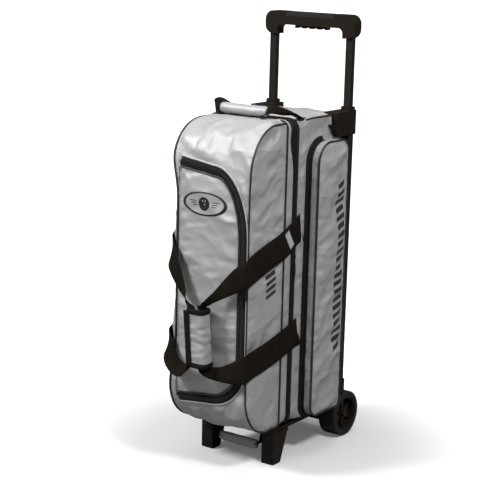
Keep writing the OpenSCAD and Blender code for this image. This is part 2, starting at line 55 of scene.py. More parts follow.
# ------------------------------------------------------------------ frame
# Lengths below are bag millimetres: x from the middle, y back from the front face, z up.
MM = 0.001
_lo, _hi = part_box("front_skin")
OFF = Vector(((_hi.x + _lo.x) / 2, _lo.y, 0))
HALF_W = round((_hi.x - _lo.x) * 500, 3)
BASE_Z, TOP_Z = round(_lo.z * 1000, 3), round(_hi.z * 1000, 3)
FRONT_D = round((_hi.y - _lo.y) * 1000, 3)
BACK_Y = round((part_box("case_back")[1].y - OFF.y) * 1000, 3)
ZIP_Y = 199.0  # the main zipper's plane, where the front section meets the case
NOSE_R = 120.0  # radius of the front section's top and bottom, seen from the side


def to_frame(p):
    """Bag millimetres to metres in the row frame, for an (n, 3) array."""
    return np.asarray(p, float) * MM + np.array(OFF)


def to_bag(p):
    """Metres in the row frame to bag millimetres, for an (n, 3) array."""
    return (p - np.array(OFF)) * 1000


def place(x, y, z):
    return Vector((x, y, z)) * MM + OFF


# ------------------------------------------------------------------ material nodes
class Nodes:
    """Short calls that add nodes to one material."""

    def __init__(self, name):
        self.mat = bpy.data.materials.new(name)
        self.mat.use_nodes = True
        self.tree = self.mat.node_tree
        self.tree.nodes.clear()
        out = self.new("ShaderNodeOutputMaterial")
        self.bsdf = self.new("ShaderNodeBsdfPrincipled")
        self.tree.links.new(self.bsdf.outputs[0], out.inputs[0])

    def new(self, kind, inputs=(), **settings):
        """A node with its settings, and with values or links for its inputs by name."""
        n = self.tree.nodes.new(kind)
        for k, v in settings.items():
            setattr(n, k, v)
        for k, v in dict(inputs).items():
            self.put(n.inputs[k], v)
        return n

    def put(self, socket, value):
        if isinstance(value, bpy.types.NodeSocket):
            self.tree.links.new(value, socket)
        elif value is not None:
            socket.default_value = value

    def math(self, op, a, b=None, clamp=False):
        return self.new("ShaderNodeMath", {0: a, 1: b}, operation=op, use_clamp=clamp).outputs[0]

    def add(self, a, b):
        return self.math("ADD", a, b)

    def sub(self, a, b):
        return self.math("SUBTRACT", a, b)

    def mul(self, a, b):
        return self.math("MULTIPLY", a, b)

    def apart(self, a, b):
        """How far a is from b."""
        return self.math("ABSOLUTE", self.sub(a, b))

    def length(self, a, b):
        return self.math("SQRT", self.add(self.mul(a, a), self.mul(b, b)))

    def sine(self, value, pitch):
        return self.math("SINE", self.mul(value, 2 * math.pi / pitch))

    def largest(self, values):
        total = values[0]
        for v in values[1:]:
            total = self.math("MAXIMUM", total, v)
        return total

    def ramp(self, value, lo, hi, out_lo=0.0, out_hi=1.0):
        """Smooth step from out_lo at lo to out_hi at hi."""
        values = dict(enumerate((value, lo, hi, out_lo, out_hi)))
        return self.new("ShaderNodeMapRange", values, interpolation_type="SMOOTHSTEP").outputs[0]

    def below(self, value, lo, hi):
        """One up to lo, none from hi."""
        return self.ramp(value, lo, hi, 1.0, 0.0)

    def mix(self, fac, a, b):
        return self.new("ShaderNodeMix", {0: fac, 6: a, 7: b}, data_type="RGBA").outputs[2]

    def noise(self, scale, detail=3.0, vector=None, rough=0.5):
        values = {"Scale": scale, "Detail": detail, "Roughness": rough, "Vector": vector}
        return self.new("ShaderNodeTexNoise", values).outputs[0]

    def cells(self, scale, vector):
        return self.new("ShaderNodeTexVoronoi", {"Scale": scale, "Vector": vector}).outputs["Distance"]

    def stretched(self, vector, scale, turn=(0, 0, 0)):
        values = {"Vector": vector, "Rotation": turn, "Scale": scale}
        return self.new("ShaderNodeMapping", values).outputs[0]

    def creases(self, vector, scale):
        """Dents that meet in sharp ridges, bent and stretched so that no two look alike."""
        bend = self.new("ShaderNodeTexNoise", {"Scale": scale * 0.45, "Vector": vector})
        values = {0: bend.outputs["Color"], 1: (1.1 / scale,) * 3, 2: vector}
        bent = self.new("ShaderNodeVectorMath", values, operation="MULTIPLY_ADD").outputs[0]
        turned = self.stretched(bent, (0.8, 0.8, 1.5), (0.5, -0.4, 0.3))
        return self.math("POWER", self.cells(scale, turned), 2.0)

    def coords(self, which="Object"):
        return self.new("ShaderNodeTexCoord").outputs[which]

    def split(self, vector):
        return self.new("ShaderNodeSeparateXYZ", {0: vector}).outputs

    def attribute(self, name):
        return self.new("ShaderNodeAttribute", attribute_name=name).outputs["Fac"]

    def bump(self, height, strength, distance, normal=None):
        values = {"Strength": strength, "Distance": distance, "Height": height, "Normal": normal}
        return self.new("ShaderNodeBump", values).outputs[0]

    def finish(self, **values):
        """Sets the shader's inputs and gives the material back."""
        for k, v in values.items():
            self.put(self.bsdf.inputs[k.replace("_", " ")], v)
        return self.mat


def grey(v, warm=0.0):
    return (v * (1 + warm), v, v * (1 - warm), 1)


def grid_lines(m, pitch, width):
    """Lines every pitch metres on all three axes; an axis along the normal is left out."""
    lines = []
    for pos, nor in zip(m.split(m.coords()), m.split(m.coords("Normal"))):
        t = m.mul(m.apart(m.math("FRACT", m.math("DIVIDE", pos, pitch)), 0.5), 2.0)
        face = m.math("SUBTRACT", 1.0, m.math("POWER", m.math("ABSOLUTE", nor), 4.0), clamp=True)
        lines.append(m.mul(m.ramp(t, 1.0 - width, 1.0), face))
    return m.largest(lines)


def stitch_mask(m, rows):
    """Thread dashes at given distances from the nearest seam, and the grooves they lie in (mm)."""
    pitch = 3.4
    along = m.math("FRACT", m.math("DIVIDE", m.attribute("along"), pitch))
    dash = m.below(m.apart(along, 0.5), 0.36, 0.42)
    edge = m.attribute("edge")
    groove = m.largest([m.below(m.apart(edge, d), 0.25, 0.75) for d in rows])
    return m.mul(groove, dash), groove


def fabric_material(name, tone=0.33, rows=(), pattern=None, creased=0.4):
    """Coated ripstop: a grid of heavier yarn, plain weave, stitching at rows, darker in mottled patches
    towards the bottom.
    """
    m = Nodes(name)
    pos = m.coords()
    rip = grid_lines(m, 0.0042, 0.16)
    weave = grid_lines(m, 0.0008, 0.7)
    fine = m.noise(420.0, 2.0, pos)
    col = m.mix(m.noise(5.0, 4.0, pos), grey(tone * 0.93), grey(tone * 1.07))
    col = m.mix(m.mul(rip, 0.5), col, grey(tone * 0.74))
    col = m.mix(m.mul(fine, 0.10), col, grey(tone * 1.2))
    # Darker in mottled patches towards the bottom of the bag.
    low = m.ramp(m.split(pos)[2], 0.10, 0.32, 0.16, 0.0)
    col = m.mix(m.mul(low, m.noise(16.0, 5.0, pos)), col, grey(0.16, 0.04))
    if rows:
        dash, groove = stitch_mask(m, rows)
        # The stitch grooves are darkened: painted shade in them; the lighter dashes are the thread.
        col = m.mix(m.mul(groove, 0.22), col, grey(tone * 0.5))
        col = m.mix(m.mul(dash, 0.8), col, grey(min(0.85, tone * 1.25)))
    if pattern:
        col = pattern(m, col)
    height = m.add(m.add(m.mul(rip, 0.6), m.mul(weave, 0.25)), m.mul(fine, 0.25))
    normal = m.bump(height, 0.35, 0.0004)
    if rows:
        normal = m.bump(m.sub(dash, groove), 0.6, 0.0008, normal)
    normal = m.bump(m.noise(38.0, 4.0, pos, 0.55), 0.2, 0.004, normal)
    for scale, deep in ((11.0, 0.014), (27.0, 0.0022)):
        normal = m.bump(m.creases(pos, scale), creased, deep, normal)
    rough = m.ramp(m.noise(9.0, 3.0, pos), 0.3, 0.7, 0.46, 0.58)
    return m.finish(Base_Color=col, Roughness=rough, Normal=normal, Metallic=0.22, Sheen_Weight=0.05,
                    Sheen_Roughness=0.4, Specular_IOR_Level=0.3)


def webbing_material(name, tone):
    """Woven webbing: ribs along the strap and picks across it, from UV in mm (u along, v across)."""
    m = Nodes(name)
    uv = m.split(m.coords("UV"))
    pos = m.coords()
    height = m.add(m.mul(m.sine(uv[1], 2.6), 0.6), m.mul(m.sine(uv[0], 1.7), 0.3))
    wear = m.ramp(m.noise(24.0, 4.0, pos), 0.5, 0.75)
    # Colour follows the rib height, lighter on the ribs and darker between them: painted highlight and
    # shade.
    col = m.mix(m.ramp(height, -0.9, 0.9), grey(tone * 0.6, 0.25), grey(tone * 1.5, 0.25))
    col = m.mix(m.mul(wear, 0.25), col, grey(tone * 3.0, 0.2))
    col = m.mix(m.mul(m.noise(900.0, 2.0, pos), 0.25), col, grey(tone * 2.2, 0.2))
    return m.finish(Base_Color=col, Roughness=0.75, Normal=m.bump(height, 0.5, 0.0006),
                    Specular_IOR_Level=0.06, Specular_Tint=(1.0, 0.8, 0.7, 1))


def zipper_material(name):
    """Zipper tape with a coil down the middle; u runs along and v across from the coil, in mm."""
    m = Nodes(name)
    uv = m.split(m.coords("UV"))
    off = m.math("ABSOLUTE", uv[1])
    coil = m.below(off, 2.4, 3.2)
    teeth = m.math("SINE", m.add(m.mul(uv[0], 2 * math.pi / 2.1), m.mul(off, 1.2)))
    tape = m.sine(m.add(uv[0], off), 1.3)
    slit = m.below(off, 0.25, 0.6)
    seam = m.below(m.apart(off, 7.6), 0.3, 0.8)
    height = m.add(m.mul(m.mul(teeth, coil), 0.8), m.mul(tape, 0.12))
    height = m.sub(m.sub(m.add(height, m.mul(coil, 0.8)), slit), m.mul(seam, 0.5))
    # The coil's teeth are lighter on their crests: painted highlight.
    col = m.mix(m.mul(coil, m.ramp(teeth, -0.6, 0.8)), grey(0.006, 0.2), grey(0.03, 0.15))
    # The slit down the coil's middle is nearly black: painted shade in it.
    col = m.mix(slit, col, grey(0.003))
    return m.finish(Base_Color=col, Roughness=m.ramp(coil, 0.0, 1.0, 0.7, 0.38),
                    Normal=m.bump(height, 0.6, 0.0008), Specular_IOR_Level=0.15)


def plastic_material(name, tone, rough=0.40):
    """Moulded plastic: fine grain, faint mottling, edges rubbed lighter, scuffs and dust low down."""
    warm = 0.3
    m = Nodes(name)
    pos = m.coords()
    bevel = m.new("ShaderNodeBevel", {0: 0.0012}, samples=4).outputs[0]
    normal = m.new("ShaderNodeNewGeometry").outputs["Normal"]
    dot = m.new("ShaderNodeVectorMath", {0: bevel, 1: normal}, operation="DOT_PRODUCT").outputs["Value"]
    edge = m.below(dot, 0.90, 0.995)
    scuff = m.ramp(m.noise(70.0, 6.0, pos, 0.65), 0.52, 0.72)
    col = m.mix(m.noise(12.0, 3.0, pos), grey(tone * 0.85, warm), grey(tone * 1.15, warm))
    rubbed = m.mul(m.mul(edge, m.noise(40.0, 3.0, pos)), 0.5)
    col = m.mix(rubbed, col, grey(tone * 3 + 0.01, warm))
    dust = m.ramp(m.split(pos)[2], 0.0, 0.12, 0.35, 0.0)
    col = m.mix(m.mul(dust, scuff), col, grey(0.08, 0.06))
    return m.finish(Base_Color=col, Roughness=m.ramp(scuff, 0.0, 1.0, rough, rough + 0.18),
                    Normal=m.bump(m.noise(1560.0, 2.0, pos), 0.18, 0.0003), Specular_IOR_Level=0.12,
                    Specular_Tint=(1.0, 0.85, 0.78, 1))


def metal_material(name, tone, rough, metallic=1.0, warm=0.05):
    """Drawn metal: fine streaks along its length and small rub marks."""
    m = Nodes(name)
    pos = m.coords()
    streak = m.noise(1.0, 3.0, m.stretched(pos, (900, 900, 9)))
    rub = m.ramp(m.noise(60.0, 5.0, pos, 0.7), 0.58, 0.7)
    col = m.mix(streak, grey(tone * 0.8, warm), grey(tone * 1.25, warm))
    col = m.mix(m.mul(rub, 0.25), col, grey(min(0.6, tone * 3), warm))
    dull = m.ramp(streak, 0.3, 0.7, rough, rough + 0.14)
    return m.finish(Base_Color=col, Metallic=metallic, Roughness=dull, Specular_IOR_Level=0.2,
                    Normal=m.bump(streak, 0.08, 0.0002))


def rubber_material(name, tone, rough=0.55):
    """Rubber: dull, faintly mottled, dusty."""
    m = Nodes(name)
    pos = m.coords()
    dust = m.ramp(m.noise(30.0, 6.0, pos, 0.6), 0.45, 0.8)
    col = m.mix(m.mul(dust, 0.35), grey(tone, 0.12), grey(tone * 2.4 + 0.006, 0.08))
    return m.finish(Base_Color=col, Roughness=m.ramp(dust, 0.0, 1.0, rough, rough + 0.2),
                    Normal=m.bump(m.noise(800.0, 2.0, pos), 0.12, 0.0003), Specular_IOR_Level=0.25)


def trim_material(name, tone, warm=0.0, rough=0.42):
    """Coated binding and piping: satin, with a fine weave."""
    m = Nodes(name)
    pos = m.coords()
    weave = grid_lines(m, 0.0009, 0.6)
    col = m.mix(m.noise(18.0, 3.0, pos), grey(tone * 0.8, warm), grey(tone * 1.25, warm))
    col = m.mix(m.mul(weave, 0.25), col, grey(tone * 0.45, warm))
    height = m.add(m.mul(weave, 0.5), m.noise(300.0, 3.0, pos))
    return m.finish(Base_Color=col, Roughness=rough, Normal=m.bump(height, 0.25, 0.0004),
                    Specular_IOR_Level=0.3)


def lining_material(name, tone=0.05):
    """Plain dark quilted lining, seen when the bag is open."""
    m = Nodes(name)
    weave = grid_lines(m, 0.0012, 0.5)
    quilt = grid_lines(m, 0.045, 0.05)
    col = m.mix(m.noise(14.0, 3.0, m.coords()), grey(tone * 0.8), grey(tone * 1.25))
    # The quilting grooves are darkened: painted shade in them.
    col = m.mix(m.mul(quilt, 0.6), col, grey(tone * 0.4))
    height = m.sub(m.mul(weave, 0.3), quilt)
    return m.finish(Base_Color=col, Roughness=0.8, Normal=m.bump(height, 0.5, 0.001), Sheen_Weight=0.2)


def foam_material(name):
    m = Nodes(name)
    cells = m.cells(900, m.coords())
    # Darker in the pits at the cells' middles: painted shade in the pores.
    col = m.mix(cells, grey(0.10), grey(0.16))
    return m.finish(Base_Color=col, Roughness=0.9, Normal=m.bump(cells, 0.4, 0.0006))


# ------------------------------------------------------------------ prints and materials
BADGE_X, BADGE_Z = -15.0, 706.0
INK = grey(0.012, 0.1)


def oval_emblem(m, col):
    """Generic badge: a ringed oval with a plain ball, its three finger holes and short speed lines."""
    light = grey(0.30)
    pos = m.split(m.coords())
    cx, cz = place(BADGE_X, 0, 0).x, place(0, 0, BADGE_Z).z
    dx = m.math("DIVIDE", m.sub(pos[0], cx), 0.0700)
    dz = m.math("DIVIDE", m.sub(pos[2], cz), 0.0310)
    r = m.length(dx, dz)
    col = m.mix(m.below(r, 0.86, 0.90), col, light)
    col = m.mix(m.below(m.apart(r, 0.92), 0.055, 0.085), col, INK)

    def disc(x, z, radius, soft=0.0006):
        d = m.length(m.sub(pos[0], cx + x), m.sub(pos[2], cz + z))
        return m.below(d, radius - soft, radius + soft)

    col = m.mix(disc(0, 0, 0.0175), col, INK)
    for x, z in ((-0.004, 0.007), (0.0045, 0.0075), (0.0015, -0.001)):
        col = m.mix(disc(x, z, 0.0024), col, light)
    for side in (-1, 1):
        for k in range(3):
            half = 0.011 - 0.0025 * k
            across = m.apart(pos[0], cx + side * 0.024 + side * half)
            tall = m.apart(pos[2], cz + (1 - k) * 0.0055)
            bar = m.mul(m.below(across, half - 0.0006, half + 0.0004), m.below(tall, 0.0009, 0.0014))
            col = m.mix(bar, col, INK)
    return col


def side_bars(y_mid, z_lo, z_hi, width, pitch):
    """Plain slanted stripes that stand where the real bag carries lettering; lengths in mm."""
    slope, share, soft = 0.30, 0.6, 0.0005

    def pattern(m, col):
        pos = m.split(m.coords())
        mid, half, side = (z_lo + z_hi) / 2 * MM, (z_hi - z_lo) / 2 * MM, width * MM / 2
        y = m.sub(pos[1], place(0, y_mid, 0).y)
        z = m.sub(m.sub(pos[2], mid), m.mul(y, slope))
        inside = m.mul(m.below(m.math("ABSOLUTE", z), half - soft, half + soft),
                       m.below(m.math("ABSOLUTE", y), side - soft, side + soft))
        t = m.math("FRACT", m.math("DIVIDE", m.add(z, half), pitch * MM))
        bar = m.mul(inside, m.math("LESS_THAN", t, share))
        return m.mix(m.mul(bar, 0.96), col, grey(0.012, 0.15))

    return pattern


SILVER = fabric_material("ripstop_silver", rows=(4.0, 7.0))
BADGE = fabric_material("badge_print", pattern=oval_emblem, creased=0.1)
SILVER_PLAIN = fabric_material("ripstop_plain")
SILVER_GUSSET = fabric_material("ripstop_gusset", rows=(3.5,), pattern=side_bars(96, 470, 592, 42, 17))
SILVER_POCKET = fabric_material("ripstop_pocket", pattern=side_bars(363, 282, 736, 38, 22))
# A little darker than the other panels' cloth, to damp its highlight: a shaded copy of the same ripstop.
SILVER_SLEEVE = fabric_material("ripstop_sleeve", tone=0.31, rows=(3.0, 6.0), creased=0.3)
TRIM = trim_material("piping_charcoal", 0.022, warm=0.15)
WEB = webbing_material("webbing_black", 0.006)
ZIP = zipper_material("zipper_black")
LINING = lining_material("lining_dark")
FOAM = foam_material("foam_grey")
PLASTIC = plastic_material("plastic_black", 0.006)
GRIP = plastic_material("plastic_charcoal", 0.008)
DARK_RUBBER = rubber_material("rubber_black", 0.006)
TYRE = rubber_material("rubber_tyre", 0.008, rough=0.5)
RIM = plastic_material("plastic_rim", 0.008, rough=0.30)
PULL = rubber_material("rubber_pull", 0.007, rough=0.42)
TUBE = metal_material("tube_black", 0.009, 0.42, metallic=0.2, warm=0.3)
STEEL = metal_material("steel_plain", 0.5, 0.3)
SLIDER = metal_material("slider_black", 0.02, 0.35, metallic=0.5)
TAB = trim_material("tab_light", 0.22, rough=0.55)


# ------------------------------------------------------------------ mesh helpers
def unit(v):
    v = np.asarray(v, float)
    return v / np.maximum(np.linalg.norm(v, axis=-1, keepdims=True), 1e-9)


def run_length(line):
    """Length along a line of points at each of them."""
    return np.concatenate([[0], np.cumsum(np.linalg.norm(np.diff(line, axis=0), axis=1))])


def closed(path):
    return np.vstack([path, path[:1]])


def make_mesh(name, verts, faces, material, uvs=None):
    """verts in bag millimetres, faces as index lists; uvs, one per vertex, in millimetres."""
    me = bpy.data.meshes.new(name)
    me.from_pydata([tuple(v) for v in to_frame(verts)], [], [list(map(int, f)) for f in faces])
    if uvs is not None:
        layer = me.uv_layers.new(name="UVMap")
        loops = np.zeros(len(me.loops), int)
        me.loops.foreach_get("vertex_index", loops)
        layer.data.foreach_set("uv", np.asarray(uvs, float)[loops].ravel())
    me.update()
    me.shade_smooth()
    me.materials.append(material)
    obj = bpy.data.objects.new(name, me)
    scene.collection.objects.link(obj)
    return obj


def grid_faces(nu, nv, wrap_u=False, wrap_v=False):
    faces = []
    for i in range(nu if wrap_u else nu - 1):
        for j in range(nv if wrap_v else nv - 1):
            a, b = i * nv + j, ((i + 1) % nu) * nv + j
            c, d = ((i + 1) % nu) * nv + (j + 1) % nv, i * nv + (j + 1) % nv
            faces.append([a, b, c, d])
    return faces


def end_faces(count, sides):
    """The two faces that close a tube of count rings."""
    return [list(range(sides))[::-1], [(count - 1) * sides + j for j in range(sides)]]


def slab_faces(nu, nv):
    """Faces of a sheet with a second one behind it, joined round the rim."""
    n = nu * nv
    front = grid_faces(nu, nv)
    rim = list(range(nv)) + [i * nv + nv - 1 for i in range(1, nu)]
    rim += [(nu - 1) * nv + j for j in range(nv - 2, -1, -1)] + [i * nv for i in range(nu - 2, 0, -1)]
    behind = [[i + n for i in q[::-1]] for q in front]
    return front + behind + [[a, b, b + n, a + n] for a, b in zip(rim, rim[1:] + rim[:1])]


def read_points(obj, key="co"):
    co = np.zeros(len(obj.data.vertices) * 3)
    obj.data.vertices.foreach_get(key, co)
    return co.reshape(-1, 3)


def write_points(obj, co):
    obj.data.vertices.foreach_set("co", np.asarray(co, float).ravel())
    obj.data.update()


def seam_attributes(obj, points, seams):
    """Stores each vertex's distance to the nearest seam, and the length along it; gives the distance."""
    best = np.full(len(points), 1e6)
    along = np.zeros(len(points))
    chunk = 2000
    for line in seams:
        line = np.asarray(line, float)
        a, seg = line[:-1], line[1:] - line[:-1]
        ln = np.linalg.norm(seg, axis=1)
        start = np.concatenate([[0], np.cumsum(ln)[:-1]])
        for first in range(0, len(points), chunk):
            part = slice(first, first + chunk)
            p = points[part, None, :]
            t = np.clip(((p - a) * seg).sum(-1) / np.maximum(ln**2, 1e-9), 0, 1)
            d = np.linalg.norm(p - (a + seg * t[..., None]), axis=-1)
            k = d.argmin(1)
            rows = np.arange(len(k))
            better = d[rows, k] < best[part]
            best[part] = np.where(better, d[rows, k], best[part])
            along[part] = np.where(better, start[k] + ln[k] * t[rows, k], along[part])
    for key, values in (("edge", best), ("along", along)):
        att = obj.data.attributes.get(key) or obj.data.attributes.new(key, "FLOAT", "POINT")
        att.data.foreach_set("value", values.astype(np.float32))
    return best


def fix_normals(obj):
    bm = bmesh.new()
    bm.from_mesh(obj.data)
    bmesh.ops.recalc_face_normals(bm, faces=bm.faces)
    bm.to_mesh(obj.data)
    bm.free()
    obj.data.shade_smooth()


def face_out(obj, centre):
    """Turns the faces so that they look away from a point given in bag millimetres."""
    me = obj.data
    c = place(*centre)
    if sum((p.center - c).dot(p.normal) * p.area for p in me.polygons) < 0:
        me.flip_normals()
    me.update()


def apply_modifiers(obj):
    deps = bpy.context.evaluated_depsgraph_get()
    me = bpy.data.meshes.new_from_object(obj.evaluated_get(deps), preserve_all_data_layers=True,
                                         depsgraph=deps)
    obj.modifiers.clear()
    obj.data = me
    me.shade_smooth()


def round_off(obj):
    sub = obj.modifiers.new("Round", "SUBSURF")
    sub.levels = sub.render_levels = 1


def thicken(obj, thick, lined=True):
    """Inward thickness in millimetres, with lining on the inside."""
    sol = obj.modifiers.new("Thick", "SOLIDIFY")
    sol.thickness = thick * MM
    sol.offset = -1.0
    if lined:
        if len(obj.data.materials) < 2:
            obj.data.materials.append(LINING)
        sol.material_offset = 1
        sol.material_offset_rim = 0


def soften(obj, name, width, segments=2):
    mod = obj.modifiers.new(name, "BEVEL")
    mod.width, mod.segments = width * MM, segments
    return mod


def set_on(obj, body, slot, *replaced):
    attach(obj, body)
    if replaced:
        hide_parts(*replaced)
    return obj


# ------------------------------------------------------------------ cloth
def wave(points, size, seed):
    """Smooth noise in about -1..1 at points given in millimetres."""
    return np.array([noise.noise(Vector(p) / size + Vector((seed, seed * 1.7, 0))) for p in points])


def crumple(points, edge, seed):
    """Dents with sharp ridges between them, flatter beside the seams; points and result in mm."""
    depth = np.zeros(len(points))
    for size, tall, deep in ((104.0, 70.0, 25.0), (47.0, 34.0, 8.0)):
        for i, (x, y, z) in enumerate(points):
            bend = 22.0 * noise.noise(Vector((x, y, z)) / 60.0)
            cell = ((x + bend) / size + seed, (y - bend) / size, (z + 0.5 * (x - y) + bend) / tall)
            d = noise.voronoi(Vector(cell))[0][0]
            depth[i] += deep * (min(d * d, 0.6) - 0.32)
    return depth * (1 - np.exp(-(edge / 13.0) ** 2))


def simulate(obj, pinned, slack, pressure):
    """Inflates a panel between its pinned vertices; gives the vertices' new places."""
    frames = 20
    group = obj.vertex_groups.new(name="pin")
    group.add([int(i) for i in np.nonzero(pinned)[0]], 1.0, "REPLACE")
    mod = obj.modifiers.new("Cloth", "CLOTH")
    s = mod.settings
    s.quality = 6
    s.mass = 0.12
    s.tension_stiffness = s.compression_stiffness = 14
    s.shear_stiffness = 6
    s.bending_stiffness = 0.35
    s.tension_damping = s.compression_damping = s.shear_damping = 8
    s.air_damping = 2.0
    s.vertex_group_mass = "pin"
    s.shrink_min = s.shrink_max = -slack
    s.use_pressure = True
    s.uniform_pressure_force = pressure
    s.effector_weights.gravity = 0.0
    mod.collision_settings.use_collision = False
    mod.collision_settings.use_self_collision = False
    mod.point_cache.frame_start = 1
    mod.point_cache.frame_end = frames
    for f in range(1, frames + 1):
        scene.frame_set(f)
    co = read_points(obj.evaluated_get(bpy.context.evaluated_depsgraph_get()))
    obj.modifiers.remove(mod)
    obj.vertex_groups.clear()
    scene.frame_set(1)
    return co


def cloth(obj, edge, pinned, slack, pressure, cap, crown, seed, creases):
    """Puffs and wrinkles a sewn panel: pinned vertices are its seams. Movement is capped, in mm."""
    rest = read_points(obj)
    nor = read_points(obj, "normal")
    edge = edge.astype(np.float32).astype(float)  # as the panel's attribute holds it
    free = ~pinned
    soft = 1 - np.exp(-(edge / 22.0) ** 2)
    ripple = wave(rest * 1000, 34.0, seed) * 0.9 + wave(rest * 1000, 90.0, seed + 5) * 1.2
    write_points(obj, rest + nor * ((crown * soft + ripple * soft) * free)[:, None] * MM)
    move = simulate(obj, pinned, slack, pressure) - rest
    size = np.linalg.norm(move, axis=1, keepdims=True)
    limit = cap * MM
    move *= np.minimum(1.0, limit * np.tanh(size / limit) / np.maximum(size, 1e-9))
    move[pinned] = 0
    write_points(obj, rest + move)
    dents = creases * crumple(rest * 1000, edge, seed) * free
    write_points(obj, read_points(obj) + nor * dents[:, None] * MM)


def finish_panel(obj, body, replaced, slot="silver_fabric", thick=2.2):
    """Rounds a panel off, gives it thickness with lining inside, and sets it on its body."""
    round_off(obj)
    thicken(obj, thick)
    apply_modifiers(obj)
    return set_on(obj, body, slot, *replaced)


def panel(name, points, seams, body, replaced, centre, keep=None, wrap=False, material=SILVER,
          slot="silver_fabric", slack=0.012, pressure=2.0, crown=4.0, cap=9.0, pin=1.2, thick=2.2,
          stitches=None, seed=1, finish=True, hold=(), reach=6.0, creases=1.0):
    """A cloth sheet on a grid of points: sewn down along seams and hold lines, puffed between them."""
    nu, nv = points.shape[:2]
    faces = np.array(grid_faces(nu, nv, wrap_u=wrap))
    verts = points.reshape(-1, 3)
    if keep is not None:
        faces = faces[keep(verts[faces].mean(1))]
    used = np.unique(faces)
    index = np.full(len(verts), -1)
    index[used] = np.arange(len(used))
    flat = verts[used]
    obj = make_mesh(name, flat, index[faces], material)
    face_out(obj, centre)
    pinned = np.zeros(len(flat), bool)
    for line in hold:
        pinned |= seam_attributes(obj, flat, [line]) < reach
    edge = seam_attributes(obj, flat, seams + list(hold))
    cloth(obj, edge, pinned | (edge < pin), slack, pressure, cap, crown, seed, creases)
    seam_attributes(obj, flat, stitches or seams)
    return finish_panel(obj, body, replaced, slot, thick) if finish else obj


def four_edges(pts):
    return [pts[:, 0], pts[:, -1], pts[0], pts[-1]]


def two_rims(pts):
    """The closed first and last lines of a grid that runs round."""
    return [closed(pts[:, k]) for k in (0, -1)]


# ------------------------------------------------------------------ cords and webbing
def sweep(name, path, radius, material, loop=False, flat=1.0, normals=None):
    """A cord along a path in millimetres; flat squeezes it along the given normals."""
    sides = 10
    path = np.asarray(path, float)
    n = len(path)
    if loop:
        tan = unit(np.roll(path, -1, 0) - np.roll(path, 1, 0))
    else:
        tan = unit(np.gradient(path, axis=0))
    if normals is None:
        ref = np.array([0.0, 0.0, 1.0] if abs(tan[:, 2]).mean() < 0.7 else [1.0, 0.0, 0.0])
        normals = unit(ref - tan * (tan @ ref)[:, None])
    else:
        normals = unit(np.asarray(normals, float))
        normals = unit(normals - tan * (tan * normals).sum(1)[:, None])
    side = np.cross(tan, normals)
    length = run_length(path)
    verts, uvs = [], []
    for i in range(n):
        for k in range(sides):
            a = 2 * math.pi * k / sides
            verts.append(path[i] + radius * (normals[i] * math.sin(a) * flat + side[i] * math.cos(a)))
            uvs.append((length[i], k / sides * 2 * math.pi * radius))
    faces = grid_faces(n, sides, wrap_u=loop, wrap_v=True)
    obj = make_mesh(name, verts, faces if loop else faces + end_faces(n, sides), material, uvs=uvs)
    fix_normals(obj)
    return obj


def cord(name, path, radius, body, *replaced, cloth_made=False, **shape):
    """Charcoal piping along a path, or a roll of the bag's own cloth."""
    material, slot = (SILVER_PLAIN, "silver_fabric") if cloth_made else (TRIM, "charcoal_trim")
    return set_on(sweep(name, path, radius, material, **shape), body, slot, *replaced)


def spline(rows, step):
    """Catmull-Rom through rows of numbers, resampled about every step mm of the first three."""
    rows = np.asarray(rows, float)
    ext = np.vstack([2 * rows[0] - rows[1], rows, 2 * rows[-1] - rows[-2]])
    out = []
    for i in range(1, len(ext) - 2):
        p0, p1, p2, p3 = ext[i - 1:i + 3]
        count = max(2, int(np.linalg.norm(p2[:3] - p1[:3]) / step))
        for t in np.linspace(0, 1, count, endpoint=False):
            out.append(0.5 * ((2 * p1) + (p2 - p0) * t + (2 * p0 - 5 * p1 + 4 * p2 - p3) * t**2
                              + (3 * p1 - p0 - 3 * p2 + p3) * t**3))
    out.append(ext[-2])
    return np.array(out)


def ribbon(name, rows, body, node, thick=1.9, step=3.0):
    """Webbing through rows of [x, y, z, wx, wy, wz]: centre and half-width vector; selvedges rounded."""
    s = spline(rows, step)
    c, w = s[:, :3], s[:, 3:]
    nor = unit(np.cross(unit(np.gradient(c, axis=0)), w))
    length = run_length(c)
    across = np.array([-1, -0.97, -0.6, 0, 0.6, 0.97, 1])
    rise = np.array([0.0, 0.8, 1, 1, 1, 0.8, 0.0])
    ring = list(zip(across, rise)) + [(a, -r) for a, r in zip(across[-2:0:-1], rise[-2:0:-1])]
    verts, uvs = [], []
    for i in range(len(c)):
        half = np.linalg.norm(w[i])
        for a, r in ring:
            verts.append(c[i] + w[i] * a + nor[i] * (r * thick / 2))
            uvs.append((length[i], a * half))
    faces = grid_faces(len(c), len(ring), wrap_v=True) + end_faces(len(c), len(ring))
    obj = make_mesh(name, verts, faces, WEB, uvs=uvs)
    fix_normals(obj)
    return set_on(obj, body, "webbing", node)


def band(name, line, outward, across, lows, highs, material, profile, thick):
    """A flat strip beside a line: across is sideways, lows to highs its span in mm from the line."""
    line, outward, across = (np.asarray(a, float) for a in (line, outward, across))
    length = run_length(line)
    offs = lows + (highs - lows) * np.linspace(0, 1, len(profile))
    ring = list(zip(offs, profile)) + [(o, h - thick) for o, h in zip(offs[::-1], profile[::-1])]
    verts, uvs = [], []
    for i in range(len(line)):
        for o, h in ring:
            verts.append(line[i] + across[i] * o + outward[i] * h)
            uvs.append((length[i], o))
    faces = grid_faces(len(line), len(ring), wrap_v=True) + end_faces(len(line), len(ring))
    obj = make_mesh(name, verts, faces, material, uvs=uvs)
    fix_normals(obj)
    return obj


